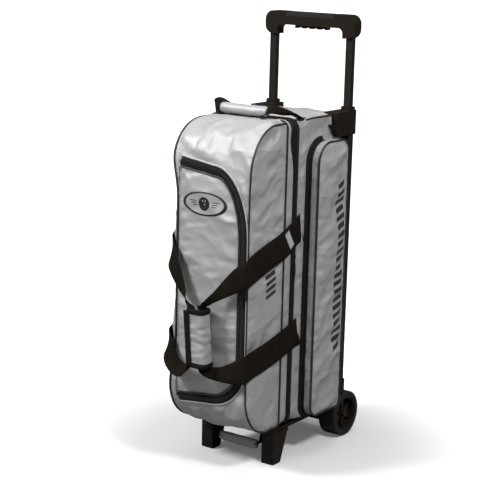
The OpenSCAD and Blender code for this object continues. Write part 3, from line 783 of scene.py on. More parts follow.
# ------------------------------------------------------------------ the bag's surfaces
ENDS = (BASE_Z + NOSE_R, TOP_Z - NOSE_R)
MID_Z = (BASE_Z + TOP_Z) / 2
RING_Y = 153.0  # the piping ring behind the front section's gussets
RING_R, ZIP_R, BACK_R = 18.0, 27.0, 6.0  # corner radii of the outline, seen from the front
DOOR_END, CASE_START = ZIP_Y - 4.0, ZIP_Y + 4.0
GRID = 5.5
TURN = 8
WIDE, TALL = int(2 * HALF_W / GRID), int((TOP_Z - BASE_Z) / GRID)


def smooth(t):
    t = np.clip(t, 0, 1)
    return t * t * (3 - 2 * t)


def nose_y(z):
    """The front face's depth at a height; it curves back at the top and the bottom."""
    z = np.asarray(z, float)
    d = np.where(z > ENDS[1], z - ENDS[1], np.where(z < ENDS[0], ENDS[0] - z, 0.0))
    return NOSE_R - np.sqrt(np.maximum(NOSE_R**2 - d**2, 0))


def nose_normal(z):
    z = np.asarray(z, float)
    d = np.where(z > ENDS[1], z - ENDS[1], np.where(z < ENDS[0], z - ENDS[0], 0.0))
    return np.stack([np.zeros_like(d), -np.sqrt(np.maximum(NOSE_R**2 - d**2, 0)) / NOSE_R, d / NOSE_R], -1)


def front_profile(y_back=FRONT_D):
    """y, z down the front section's side profile, from the top back edge round to the bottom one."""
    turn = np.linspace(0, math.pi / 2, int(NOSE_R * math.pi / 2 / GRID), endpoint=False)
    tall = int((ENDS[1] - ENDS[0]) / GRID)
    rows = [(y, TOP_Z) for y in np.linspace(y_back, NOSE_R, 6)[:-1]]
    rows += [(NOSE_R - NOSE_R * math.sin(a), ENDS[1] + NOSE_R * math.cos(a)) for a in turn]
    rows += [(0, z) for z in np.linspace(ENDS[1], ENDS[0], tall, endpoint=False)]
    rows += [(NOSE_R - NOSE_R * math.cos(a), ENDS[0] - NOSE_R * math.sin(a)) for a in turn]
    rows += [(y, BASE_Z) for y in np.linspace(NOSE_R, y_back, 6)]
    return np.array(rows)


def edge_x(side, z):
    """Where the front piping runs: pulled in from the corner between the top and the bottom."""
    inset = 17.0 if side < 0 else 2.5
    return side * (HALF_W - inset * (smooth((840 - z) / 130) * smooth((z - 215) / 130)))


def round_corners(p):
    """Rounds the top and bottom side corners of the front section, more towards the back."""
    p = np.array(p, float)
    x, y, z = p[..., 0], p[..., 1], p[..., 2]
    r = RING_R * smooth((y - 12) / 120) + 1e-6
    drop = NOSE_R - np.sqrt(np.maximum(NOSE_R**2 - (NOSE_R - np.clip(y, 0, NOSE_R)) ** 2, 0))
    up = np.where(z > MID_Z, 1.0, -1.0)
    edge = np.where(z > MID_Z, TOP_Z - drop, BASE_Z + drop)
    cx, cz = HALF_W - r, edge - up * r
    dx, dz = np.abs(x) - cx, (z - cz) * up
    inside = (dx > 0) & (dz > 0)
    scale = np.where(inside, np.maximum(dx, dz) / np.maximum(np.hypot(dx, dz), 1e-9), 1.0)
    p[..., 0] = np.where(inside, np.sign(x) * (cx + dx * scale), x)
    p[..., 2] = np.where(inside, cz + up * dz * scale, z)
    return p


def outline(r):
    """The outline seen from the front, clockwise from the top left: x, z and normal, a fixed count."""
    x1, z0, z1 = HALF_W, BASE_Z, TOP_Z
    rows = []
    corners = [(x1 - r, z1 - r, 90), (x1 - r, z0 + r, 0), (-x1 + r, z0 + r, -90), (-x1 + r, z1 - r, -180)]
    for k, (cx, cz, a0) in enumerate(corners):
        px, pz, _ = corners[k - 1]
        nx, nz = math.cos(math.radians(a0)), math.sin(math.radians(a0))
        start, end = (px + r * nx, pz + r * nz), (cx + r * nx, cz + r * nz)
        for t in np.linspace(0, 1, TALL if k % 2 else WIDE, endpoint=False):
            rows.append((start[0] + (end[0] - start[0]) * t, start[1] + (end[1] - start[1]) * t, nx, nz))
        for a in np.radians(np.linspace(a0, a0 - 90, TURN, endpoint=False)):
            rows.append((cx + r * math.cos(a), cz + r * math.sin(a), math.cos(a), math.sin(a)))
    return np.array(rows)


def ring_at(y, r, lift=0.0):
    """The outline as points in space at depth y, and its outward normals."""
    o = outline(r)
    nor = np.stack([o[:, 2], np.zeros(len(o)), o[:, 3]], -1)
    return np.stack([o[:, 0], np.full(len(o), float(y)), o[:, 1]], -1) + nor * lift, nor


def case_radius(y, start):
    return ZIP_R + (BACK_R - ZIP_R) * smooth((y - CASE_START - start) / 70)


# The shoe pocket's D shape: left edge with its top and bottom, then centre and radii of both turns.
D_LEFT, D_HI, D_LO = -97.5, 807.0, 182.0
D_TOP, D_LOW = (10.0, 620.0, 95.0, 173.0), (0.0, 290.0, 106.0, 95.0)


def d_outline(o, left=D_LEFT):
    """The shoe pocket's zipper line moved outwards by o, from its top left end to its bottom left."""
    (tx, tz, ta, tb), (lx, lz, la, lb) = D_TOP, D_LOW
    z0, z1 = tz + tb + o, lz - lb - o
    pts = []
    for t in np.linspace(0, 1, 16, endpoint=False):
        x = left + (tx - left) * t
        pts.append((x, D_HI + o + (x - D_LEFT) / (tx - D_LEFT) * (z0 - D_HI - o)))
    for a in np.linspace(math.pi / 2, 0, 36, endpoint=False):
        pts.append((tx + (ta + o) * math.cos(a), tz + (tb + o) * math.sin(a)))
    for t in np.linspace(0, 1, 44, endpoint=False):
        pts.append((tx + ta + o + (lx + la - tx - ta) * t, tz + (lz - tz) * t))
    for a in np.linspace(0, -math.pi / 2, 28, endpoint=False):
        pts.append((lx + (la + o) * math.cos(a), lz + (lb + o) * math.sin(a)))
    for t in np.linspace(0, 1, 16):
        x = lx + (left - lx) * t
        pts.append((x, z1 + (x - lx) / (D_LEFT - lx) * (D_LO - o - z1)))
    return np.array(pts)


def d_range(x, o):
    """Lowest and highest z of the shoe pocket's outline at x."""
    x = np.asarray(x, float)
    (tx, tz, ta, tb), (lx, lz, la, lb) = D_TOP, D_LOW
    hi_left = D_HI + o + (x - D_LEFT) / (tx - D_LEFT) * (tz + tb - D_HI)
    hi_right = tz + (tb + o) * np.sqrt(np.maximum(0, 1 - ((x - tx) / (ta + o)) ** 2))
    lo_left = D_LO - o + (x - D_LEFT) / (lx - D_LEFT) * (lz - lb - D_LO)
    lo_right = lz - (lb + o) * np.sqrt(np.maximum(0, 1 - ((x - lx) / (la + o)) ** 2))
    return np.where(x < lx, lo_left, lo_right), np.where(x < tx, hi_left, hi_right)


def on_front(xz, lift=0.0):
    """Points of the front face at x and z, lifted off it, and the normals there."""
    nor = nose_normal(xz[:, 1])
    return np.stack([xz[:, 0], nose_y(xz[:, 1]), xz[:, 1]], -1) + nor * lift, nor


_lid_lo, _lid_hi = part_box("side_lid_panel")
POCKET_Y = ((_lid_lo.y - OFF.y) * 1000, (_lid_hi.y - OFF.y) * 1000)
POCKET_Z = (_lid_lo.z * 1000, _lid_hi.z * 1000)
POCKET_X = (_lid_hi.x - OFF.x) * 1000
POCKET_R = (52.0, 30.0, 16.0, 30.0)  # corner radii: front top, back top, back bottom, front bottom


def pocket_loop(o=0.0):
    """The side pocket's outline, y, z and normal, from the back top over the front to the bottom."""
    y0, y1, z0, z1 = POCKET_Y[0] - o, POCKET_Y[1] + o, POCKET_Z[0] - o, POCKET_Z[1] + o
    ft, bt, bb, fb = (r + o for r in POCKET_R)
    wide, tall = 14, int((z1 - z0) / GRID)
    rows = []

    def line(a, b, count, n):
        for t in np.linspace(0, 1, count, endpoint=False):
            rows.append((a[0] + (b[0] - a[0]) * t, a[1] + (b[1] - a[1]) * t) + n)

    def arc(c, r, a0, count):
        for a in np.radians(np.linspace(a0, a0 + 90, count, endpoint=False)):
            rows.append((c[0] + r * math.cos(a), c[1] + r * math.sin(a), math.cos(a), math.sin(a)))

    line((y1 - bt, z1), (y0 + ft, z1), wide, (0.0, 1.0))
    arc((y0 + ft, z1 - ft), ft, 90, 14)
    line((y0, z1 - ft), (y0, z0 + fb), tall, (-1.0, 0.0))
    arc((y0 + fb, z0 + fb), fb, 180, 10)
    line((y0 + fb, z0), (y1 - bb, z0), wide, (0.0, -1.0))
    arc((y1 - bb, z0 + bb), bb, 270, 8)
    line((y1, z0 + bb), (y1, z1 - bt), tall, (1.0, 0.0))
    arc((y1 - bt, z1 - bt), bt, 0, 10)
    return np.array(rows)


def corner_cut(d, r):
    """How far a rounded corner of radius r stands back, d past the corner's centre."""
    return r - np.sqrt(np.maximum(r**2 - np.clip(d, 0, r) ** 2, 0))


def pocket_width(z):
    """Front and back y of the side pocket's outline at a height."""
    y0, y1, z0, z1 = *POCKET_Y, *POCKET_Z
    ft, bt, bb, fb = POCKET_R
    front = y0 + corner_cut(z - (z1 - ft), ft) + corner_cut((z0 + fb) - z, fb)
    back = y1 - corner_cut(z - (z1 - bt), bt) - corner_cut((z0 + bb) - z, bb)
    return front, back


def open_run(keep):
    """Indices of the kept points of a closed loop, in order from the first one after the gap."""
    first = next(i for i in range(len(keep)) if keep[i] and not keep[i - 1])
    return [(first + k) % len(keep) for k in range(int(keep.sum()))]


# ------------------------------------------------------------------ sewn panels
def cloth_front():
    """The front panel, with the shoe pocket's opening left out."""
    rows = []
    for y, z in front_profile():
        rows.append([(x, y, z) for x in np.linspace(edge_x(-1, z), edge_x(1, z), WIDE)])
    pts = np.array(rows)

    def outside(c):
        lo, hi = d_range(c[:, 0], 6.0)
        wide = (c[:, 0] > D_LEFT - 3) & (c[:, 0] < D_LOW[0] + D_LOW[2] + 6)
        return ~(wide & (c[:, 2] > lo) & (c[:, 2] < hi) & (c[:, 1] < 60))

    edges = four_edges(pts)
    hole, _ = on_front(d_outline(8.0, left=-110.0))
    left = np.array([(D_LEFT - 4, 0, z) for z in np.linspace(D_LO, D_HI, 60)])
    obj = panel("front_panel", pts, edges + [hole, left], "front_door", ["front_skin"], (0, 100, MID_Z),
                keep=outside, pin=3.0, crown=2.5, cap=7.0, stitches=edges + [on_front(d_outline(12.0))[0]],
                seed=3, finish=False, creases=0.65)
    write_points(obj, to_frame(round_corners(to_bag(read_points(obj)))))
    finish_panel(obj, "front_door", ["front_skin"])


def gusset_points(side):
    """Side of the front section: from the front piping, round the corner, back to the ring."""
    turn = np.linspace(0, math.pi / 2, 5)
    deep = int(FRONT_D / GRID)
    rows = []
    for y, z in front_profile()[5:-5]:
        ex = edge_x(side, z)
        reach = abs(HALF_W - abs(ex)) * 1.2 + 3.0
        xs = ex + (side * HALF_W - ex) * np.sin(turn)
        ys = y + reach * (1 - np.cos(turn))
        back = np.linspace(ys[-1], RING_Y - 1, deep)[1:]
        rows.append([(x, yy, z) for x, yy in zip(xs, ys)] + [(side * HALF_W, yy, z) for yy in back])
    return np.array(rows)


def cloth_gussets():
    """Both sides of the front section, each with a slanting seam sewn down across it."""
    puff = 3.6
    for side, word in ((-1, "left"), (1, "right")):
        pts = gusset_points(side)
        seam = np.array([(side * HALF_W, y, z) for y, z in ((2.0, 655.0), (40.0, 651.0), (RING_Y, 626.0))])
        edges = four_edges(pts)
        stitches = edges + [seam - (0, 0, 4.0), seam + (0, 0, 3.0)]
        obj = panel(f"gusset_{word}", pts, edges, "front_door", ["gussets"], (0, 80, MID_Z), pin=0.6,
                    crown=2.4, cap=5.0, slack=0.02, stitches=stitches, hold=[seam], reach=4.5,
                    creases=1.25, material=SILVER_GUSSET, seed=11 + side, finish=False)
        co = round_corners(to_bag(read_points(obj)))
        co[:, 0] = np.sign(co[:, 0]) * np.minimum(np.abs(co[:, 0]), HALF_W + puff)
        write_points(obj, to_frame(co))
        finish_panel(obj, "front_door", ["gussets"])


def cloth_flap():
    """The shoe pocket's flap, inside its zipper."""
    split, inset = 26, -7.5
    turn = np.sin(np.linspace(0, math.pi / 2, split - 4))
    xs = np.concatenate([np.linspace(D_LEFT - 1.0, D_TOP[0], split, endpoint=False),
                         D_TOP[0] + (D_TOP[2] + inset) * turn])
    tall = int((D_HI - D_LO) / GRID)
    cols = []
    for x in xs:
        lo, hi = d_range(x, inset)
        zs = np.linspace(hi, lo, tall)
        cols.append(np.stack([np.full(tall, x), nose_y(zs), zs], -1))
    pts = np.array(cols)
    edges = [pts[0], pts[-1], pts[:, 0], pts[:, -1]]
    inner, _ = on_front(d_outline(-13.0, left=D_LEFT + 2))
    return panel("shoe_flap_cloth", pts, edges + [inner], "shoe_flap", ["shoe_flap"], (0, 200, 500), pin=2.6,
                 crown=5.0, cap=11.0, pressure=2.4, stitches=[inner], seed=7, creases=0.3)


def cloth_collar():
    """The strip between the ring of piping and the main zipper."""
    rings = []
    for y in np.linspace(RING_Y, DOOR_END, 9):
        rings.append(ring_at(y, RING_R + (ZIP_R - RING_R) * smooth((y - RING_Y) / 30))[0])
    pts = np.stack(rings, 1)
    edges = two_rims(pts)
    mid, beside = (closed(ring_at(y, ZIP_R)[0]) for y in (RING_Y + 26, DOOR_END - 6))
    panel("collar_strip", pts, edges, "front_door", ["door_collar"], (0, 170, MID_Z), wrap=True, pin=0.6,
          hold=[beside], reach=5.0, creases=0.25, crown=1.8, cap=3.0, slack=0.006, stitches=edges + [mid],
          seed=21)


def cloth_case():
    """The case's sides, top and floor in one piece, and its back."""
    lip = CASE_START + 12
    ys = np.concatenate([np.linspace(CASE_START, lip, 3, endpoint=False),
                         np.linspace(lip, BACK_Y, int((BACK_Y - CASE_START - 12) / (GRID * 1.3)))])
    pts = np.stack([ring_at(y, case_radius(y, 4))[0] for y in ys], 1)
    corners = [k * TURN + TURN // 2 + WIDE * ((k + 2) // 2) + TALL * ((k + 1) // 2) for k in range(4)]
    rims = two_rims(pts)
    edges = rims + [pts[k] for k in corners]
    shelf, beside = (closed(ring_at(y, ZIP_R)[0]) for y in (CASE_START + 26, CASE_START + 8))
    around = pocket_loop(9.0)
    around = closed(np.column_stack([np.full(len(around), HALF_W), around[:, 0], around[:, 1]]))
    panel("case_shell", pts, edges, "case", ["case_sides", "case_top", "case_floor"], (0, 300, MID_Z),
          wrap=True, crown=2.2, cap=4.5, pin=2.2, stitches=[rims[0], shelf] + edges[2:], seed=31,
          hold=[beside, around], reach=8.0, creases=0.5)
    rows = []
    for z in np.linspace(BASE_Z + 1, TOP_Z - 1, int((TOP_Z - BASE_Z) / GRID / 1.3)):
        cut = corner_cut(abs(z - MID_Z) - (TOP_Z - MID_Z - BACK_R), BACK_R)
        rows.append([(x, BACK_Y, z) for x in np.linspace(-HALF_W + cut, HALF_W - cut, 34)])
    pts = np.array(rows)
    panel("back_panel", pts, four_edges(pts), "case", ["case_back"], (0, 300, MID_Z), crown=1.2, cap=3.0,
          slack=0.008, seed=37, creases=0.5)


def cloth_pocket():
    """The side pocket's gusset and its outer panel."""
    rows = []
    for out, lean in ((0.6, 0.0), (7, 1.2), (14, 1.8), (21, 1.6), (27, 1.0), (31.5, 0.0)):
        rows.append([(HALF_W + out, y + ny * lean * 0.4, z + nz * lean * 0.4)
                     for y, z, ny, nz in pocket_loop()])
    pts = np.array(rows).transpose(1, 0, 2)
    panel("pocket_gusset", pts, two_rims(pts), "side_lid", ["side_lid_gusset"], (HALF_W + 15, 328, MID_Z),
          wrap=True, crown=1.5, cap=2.8, slack=0.01, pin=0.6, seed=41, creases=0.3)
    z0, z1 = POCKET_Z
    r, end = 52, math.pi / 2 * 0.985
    low = z0 + r - r * np.sin(np.linspace(end, 0, 14, endpoint=False))
    inner = np.linspace(z0 + r, z1 - r, int((z1 - z0 - 2 * r) / GRID))
    high = z1 - r + r * np.sin(np.linspace(0, end, 14))[1:]
    rows = []
    for z in np.concatenate([low, inner, high]):
        rows.append([(POCKET_X - 2.5, y, z) for y in np.linspace(*pocket_width(z), 28)])
    pts = np.array(rows)
    panel("pocket_panel", pts, four_edges(pts), "side_lid", ["side_lid_panel"], (HALF_W, 328, MID_Z),
          crown=5.5, slack=0.016, pressure=2.2, material=SILVER_POCKET, seed=43, creases=0.85)


# ------------------------------------------------------------------ piping, welts and zippers
def front_edge(side, lift=1.6):
    """The front section's edge piping, round its nose, after the corners are rounded."""
    rows = []
    for y, z in front_profile(RING_Y - 2):
        n = nose_normal(z)
        up = 0.7 if z > MID_Z else -0.7
        out = [side * 0.7, n[1] * 0.7, n[2] * 0.7] if y <= NOSE_R else [side * 0.7, 0, up]
        rows.append(np.array([edge_x(side, z), y, z]) + np.array(out) * lift)
    return round_corners(np.array(rows))


def add_piping():
    """Cords along the seams, and the rolls of cloth at both hinges and round the flap."""
    r = 2.7
    for side, word in ((-1, "left"), (1, "right")):
        cord(f"front_cord_{word}", front_edge(side), r, "front_door", "front_piping")
    cord("ring_cord", ring_at(RING_Y, RING_R, 1.9)[0], r, "front_door", "front_piping", loop=True)
    ys = np.linspace(ZIP_Y + 46, BACK_Y, 40)
    corner = case_radius(ys, 4)
    out = (corner + 1.5) * math.sqrt(0.5)
    for k, side in enumerate((1, -1)):
        path = np.stack([side * (HALF_W - corner + out), ys, TOP_Z - corner + out], -1)
        cord(f"top_cord_{k}", path, 2.5, "case", "case_piping")
    cord("back_cord", ring_at(BACK_Y + 0.4, BACK_R, 1.2)[0], 2.1, "case", "case_piping", loop=True)
    hinge = [(-HALF_W - 0.6, ZIP_Y, z) for z in np.linspace(BASE_Z + 24, TOP_Z - 24, 30)]
    cord("hinge_fold", hinge, 3.4, "case", "case_piping", cloth_made=True, flat=0.6)
    y, z, ny, nz = pocket_loop().T
    rim = np.stack([np.full(len(y), POCKET_X - 2.6), y + ny * 0.7, z + nz * 0.7], -1)
    cord("pocket_cord", rim, r, "side_lid", "side_lid_piping", loop=True)
    cord("flap_cord", on_front(d_outline(-15.0, left=D_LEFT + 2), 2.0)[0], 1.8, "shoe_flap")
    add_hinge_cloth()
    hinge = np.array([(D_LEFT, z) for z in np.linspace(D_LO - 2, D_HI + 2, 90)])
    cord("flap_hinge_cord", on_front(hinge, 0.6)[0], 1.6, "front_door", cloth_made=True)
    welt, nor = on_front(d_outline(12.4, left=D_LEFT - 2), 1.6)
    cord("flap_welt", welt, 2.8, "front_door", cloth_made=True, flat=0.8, normals=nor)


def add_hinge_cloth():
    """A strip of cloth behind the hinge."""
    rows = np.array([[(-HALF_W + 1.2, y, z) for y in np.linspace(ZIP_Y - 9, ZIP_Y + 9, 13)]
                     for z in np.linspace(BASE_Z + 26, TOP_Z - 26, 80)])
    spine = make_mesh("hinge_cloth", rows.reshape(-1, 3), grid_faces(*rows.shape[:2]), SILVER_PLAIN)
    face_out(spine, (0, ZIP_Y, MID_Z))
    thicken(spine, 1.4)
    apply_modifiers(spine)
    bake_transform(spine)


def main_zip(name, sign, width, body, node):
    """Half of the main zipper: a strip round the outline, left out along the hinge side."""
    ring, nor = ring_at(ZIP_Y, ZIP_R)
    run = open_run(ring[:, 0] > -97.0)
    line, out = ring[run], nor[run]
    across = np.tile([0.0, 1.0, 0.0], (len(line), 1))
    if sign < 0:
        across = across * (1 + 1.3 * smooth((line[:, 2:] - 775) / 90))
    obj = band(name, line, out, across * sign, 0.3, width, ZIP, [4.6, 4.4, 3.4, 3.1, 2.9, 1.2], 3.0)
    set_on(obj, body, "zip_tape", node)


def flap_zip():
    """Both halves of the shoe pocket's zipper."""
    xz = d_outline(0.0, left=D_LEFT + 1)
    line, nor = on_front(xz)
    t = unit(np.gradient(xz, axis=0))
    across = unit(np.stack([-t[:, 1], np.zeros(len(t)), t[:, 0]], -1))
    across = unit(across - nor * (across * nor).sum(1)[:, None])
    outwards = on_front(d_outline(5.0, left=D_LEFT + 1))[0] - line
    if (outwards * across).sum() < 0:
        across = -across
    profile = [3.6, 3.4, 2.6, 2.4, 2.2, 1.8]
    outer = band("flap_zip_outer", line, nor, across, 0.3, 13.0, ZIP, profile, 1.8)
    set_on(outer, "front_door", "zip_tape", "flap_zip_tape")
    inner = band("flap_zip_inner", line, nor, -across, 0.3, 11.5, ZIP, profile, 1.8)
    set_on(inner, "shoe_flap", "zip_tape", "flap_edge_tape")


def flap_tabs():
    """The light tabs at the flap zipper's two ends."""
    for k, (z, drop, tilt) in enumerate(((D_HI - 2.0, 0, 0.35), (D_LO - 1.0, 12, -0.10))):
        xs, zs = np.linspace(D_LEFT - 4, D_LEFT + 4, 6), np.linspace(z - 1.5, z + 15, 8) - drop
        flat = np.array([(x, zz + (x - D_LEFT) * tilt) for x in xs for zz in zs])
        pts, _ = on_front(flat, 3.4)
        tab = make_mesh(f"zip_tab_{k}", np.vstack([pts, pts + [0, 2.4, 0]]), slab_faces(6, 8), TAB)
        fix_normals(tab)
        soften(tab, "Soft", 0.6)
        set_on(tab, "front_door", "light_tab", "zip_end_tabs")


def pocket_zip():
    """Both halves of the side pocket's zipper, along its front and the corners beside it."""
    lid = pocket_loop(2.2)
    lid = lid[open_run(lid[:, 0] < POCKET_Y[0] + 60)]
    line = np.stack([np.full(len(lid), HALF_W + 1.0), lid[:, 0], lid[:, 1]], -1)
    across = np.stack([np.zeros(len(lid)), lid[:, 2], lid[:, 3]], -1)
    out = np.tile([1.0, 0, 0], (len(lid), 1))
    fixed = band("pocket_zip_case", line + across * 2.2, out, across, 0.3, 9.0, ZIP,
                 [4.6, 4.2, 3.4, 3.0, 1.4], 3.2)
    set_on(fixed, "case", "zip_tape", "side_zip_tape")
    moving = band("pocket_zip_lid", line + across * 0.2, across, out, 0.6, 11.0, ZIP,
                  [2.4, 2.2, 1.6, 1.4, 0.8], 1.6)
    set_on(moving, "side_lid", "zip_tape", "side_lid_tape")


def add_zippers():
    main_zip("main_zip_door", -1, 13.0, "front_door", "door_zip_tape")
    main_zip("main_zip_case", 1, 8.0, "case", "case_zip_tape")
    flap_zip()
    flap_tabs()
    pocket_zip()


# ------------------------------------------------------------------ straps and handles
STRAP_X, STRAP_HALF, AXIS_Y, FRONT_Y = HALF_W + 7.0, 37.0, ZIP_Y + 17.0, -24.0
STRAP_Z = {1: 630, -1: 634}  # height of the upper sewn end on the right and on the left
STRAP_DROP = 279  # the lower sewn end is this far below the upper one


def slanted(angle, half=STRAP_HALF):
    """Half-width vector of webbing beside the body whose path slopes by an angle."""
    a = math.radians(angle)
    return [0, -half * math.sin(a), half * math.cos(a)]


def down(angle, half=STRAP_HALF):
    return [-v for v in slanted(angle, half)]


def sided(rows, side):
    """Webbing rows on the right as they are, or mirrored to the left."""
    return np.array(rows, float) * [side, 1, 1, side, 1, 1]


def right_rows():
    """The right strap: sewn end, round the front, twisted down into the wrap, back to its lower end."""
    sx, fy, hw = STRAP_X, FRONT_Y, STRAP_HALF
    rows = [
        ([sx, AXIS_Y - 3, 630], [0, 0, hw + 2]), ([sx, 150, 598], slanted(22)), ([sx, 60, 572], slanted(17)),
        ([sx + 1, 8, 556], slanted(15)), ([sx + 3, -14, 549], [-2, -1, hw - 2]),
        ([sx - 4, -22, 543], [-6, -2, hw - 6]), ([sx - 19, fy - 1, 533], [-11, -3, hw - 11]),
        ([83, fy - 3, 513], [-12, -2, hw - 18]), ([48, fy - 7, 484], [-7, -3, hw - 26]),
        ([26, -44, 464], [1, -9, 9]), ([14, -46, 446], [0, -16, 2]), ([14, -46, 370], [0, -16, 0]),
        ([14, -46, 302], [0, -16, -2]), ([24, -42, 286], [3, -12, -10]),
        ([48, fy - 8, 281], [-2, -6, -hw + 21]), ([83, fy - 3, 285], [4, -1, -hw + 13]),
        ([sx - 19, fy - 1, 293], [7, 0, -hw + 8]),
        ([sx - 4, -22, 299], [6, 1, -hw + 4]), ([sx + 3, -14, 303], [2, 2, -hw + 1]),
        ([sx + 1, 8, 307], down(14)), ([sx, 70, 316], down(14)), ([sx, 150, 334], down(18)),
        ([sx, AXIS_Y - 3, 352], [0, 0, -hw - 2])]
    return [c + w for c, w in rows]


def left_rows():
    """The left strap, as if on the right: steeper down to the wrap, slack below it."""
    sx, fy, hw = STRAP_X, FRONT_Y, STRAP_HALF
    rows = [
        ([sx, AXIS_Y - 3, 634], [0, 0, hw + 2]), ([sx, 150, 616], slanted(15)), ([sx, 60, 598], slanted(12)),
        ([sx - 2, 16, 582], slanted(16, hw - 4)), ([sx - 9, -4, 572], [-7, -2, hw - 9]),
        ([sx - 21, -17, 557], [-15, -3, hw - 17]), ([95, fy, 537], [-19, -3, hw - 25]),
        ([79, fy - 3, 509], [-18, -4, 9]), ([58, fy - 8, 478], [-13, -8, 8]), ([38, -42, 456], [-5, -13, 5]),
        ([20, -46, 438], [0, -16, 2]), ([20, -46, 370], [0, -16, 0]), ([20, -46, 302], [0, -16, -2]),
        ([26, -44, 284], [3, -15, -7]), ([46, -40, 272], [2, -15, -13]), ([70, -36, 274], [3, -14, -16]),
        ([92, -31, 287], [8, -11, -18]), ([sx - 18, -24, 306], [11, -7, -19]),
        ([sx - 8, -12, 325], [10, 1, -22]), ([sx, 8, 340], down(14, hw - 12)),
        ([sx + 4, 70, 350], down(4, hw - 3)), ([sx + 3, 150, 352], down(2)),
        ([sx, AXIS_Y - 3, 354], [0, 0, -hw - 2])]
    return [c + w for c, w in rows]


def add_straps():
    """Both carry straps and their sewn ends on the case."""
    ribbon("strap_right_web", sided(right_rows(), 1), "right_loop", "strap_right")
    ribbon("strap_left_web", sided(left_rows(), -1), "left_loop", "strap_left")
    x = HALF_W + 1.6
    for s, word in ((1, "right"), (-1, "left")):
        for tag, z in (("upper", STRAP_Z[s]), ("lower", STRAP_Z[s] - STRAP_DROP)):
            rows = np.array([[s * (STRAP_X - 0.5), AXIS_Y - 3, z, 0, 0, 39],
                             [s * (x + 3.0), AXIS_Y + 4, z - 2, 0, -3, 38],
                             [s * (x + 1.0), AXIS_Y + 9, z - 3, 0, -7, 37],
                             [s * x, AXIS_Y + 15, z - 4, 0, -14, 36]])
            ribbon(f"sewn_end_{tag}_{word}", rows, "case", "sewn_webbing", thick=1.8, step=2.5)


def label_material():
    m = Nodes("label_blank")
    u, v, _ = m.split(m.coords("UV"))
    edge_u = m.ramp(m.apart(u, 0.5), 0.43, 0.45)
    edge_v = m.ramp(m.apart(v, 0.5), 0.36, 0.39)
    dash = m.math("LESS_THAN", m.math("FRACT", m.mul(u, 9.0)), 0.55)
    dash = m.mul(dash, m.below(m.apart(v, 0.42), 0.10, 0.13))
    col = m.mix(m.math("MAXIMUM", edge_u, edge_v), grey(0.40), grey(0.012))
    col = m.mix(m.mul(dash, 0.55), col, grey(0.25))
    return m.finish(Base_Color=col, Roughness=0.6, Normal=m.bump(grid_lines(m, 0.0006, 0.6), 0.3, 0.0003))


def add_label():
    """A blank woven label with a printed frame on the upper right strap."""
    y_mid, z_mid, width, length, a = 168, 606, 25, 54, math.radians(33)
    nu, nv = 10, 5
    verts, uvs = [], []
    for layer in (1.0, 0.0):
        for i in range(nu):
            for j in range(nv):
                u, v = i / (nu - 1) - 0.5, j / (nv - 1) - 0.5
                dy, dz = v * width, u * length
                out = 1.2 - 0.5 * (2 * max(abs(u), abs(v))) ** 6
                verts.append((STRAP_X + 0.6 + layer * out, y_mid + dy * math.cos(a) + dz * -math.sin(a),
                              z_mid + dz * math.cos(a) + dy * math.sin(a)))
                uvs.append((u + 0.5, v + 0.5))
    obj = make_mesh("strap_label_woven", verts, slab_faces(nu, nv), label_material(), uvs=uvs)
    fix_normals(obj)
    set_on(obj, "right_loop", "label", "strap_label")


def wrap_path(x0, x1, y0, y1, r):
    """The wrap's outer line seen from above: a C open to the left."""
    quarter = np.linspace(0, math.pi / 2, 9, endpoint=False)
    path = [(x0 + (x1 - r - x0) * t, y0) for t in np.linspace(0, 1, 10, endpoint=False)]
    path += [(x1 - r + r * math.sin(a), y0 + r - r * math.cos(a)) for a in quarter]
    path += [(x1, y0 + r + (y1 - y0 - 2 * r) * t) for t in np.linspace(0, 1, 5, endpoint=False)]
    path += [(x1 - r + r * math.cos(a), y1 - r + r * math.sin(a)) for a in quarter]
    path += [(x1 - r + (x0 + 4 - x1 + r) * t, y1) for t in np.linspace(0, 1, 10)]
    return np.array(path)


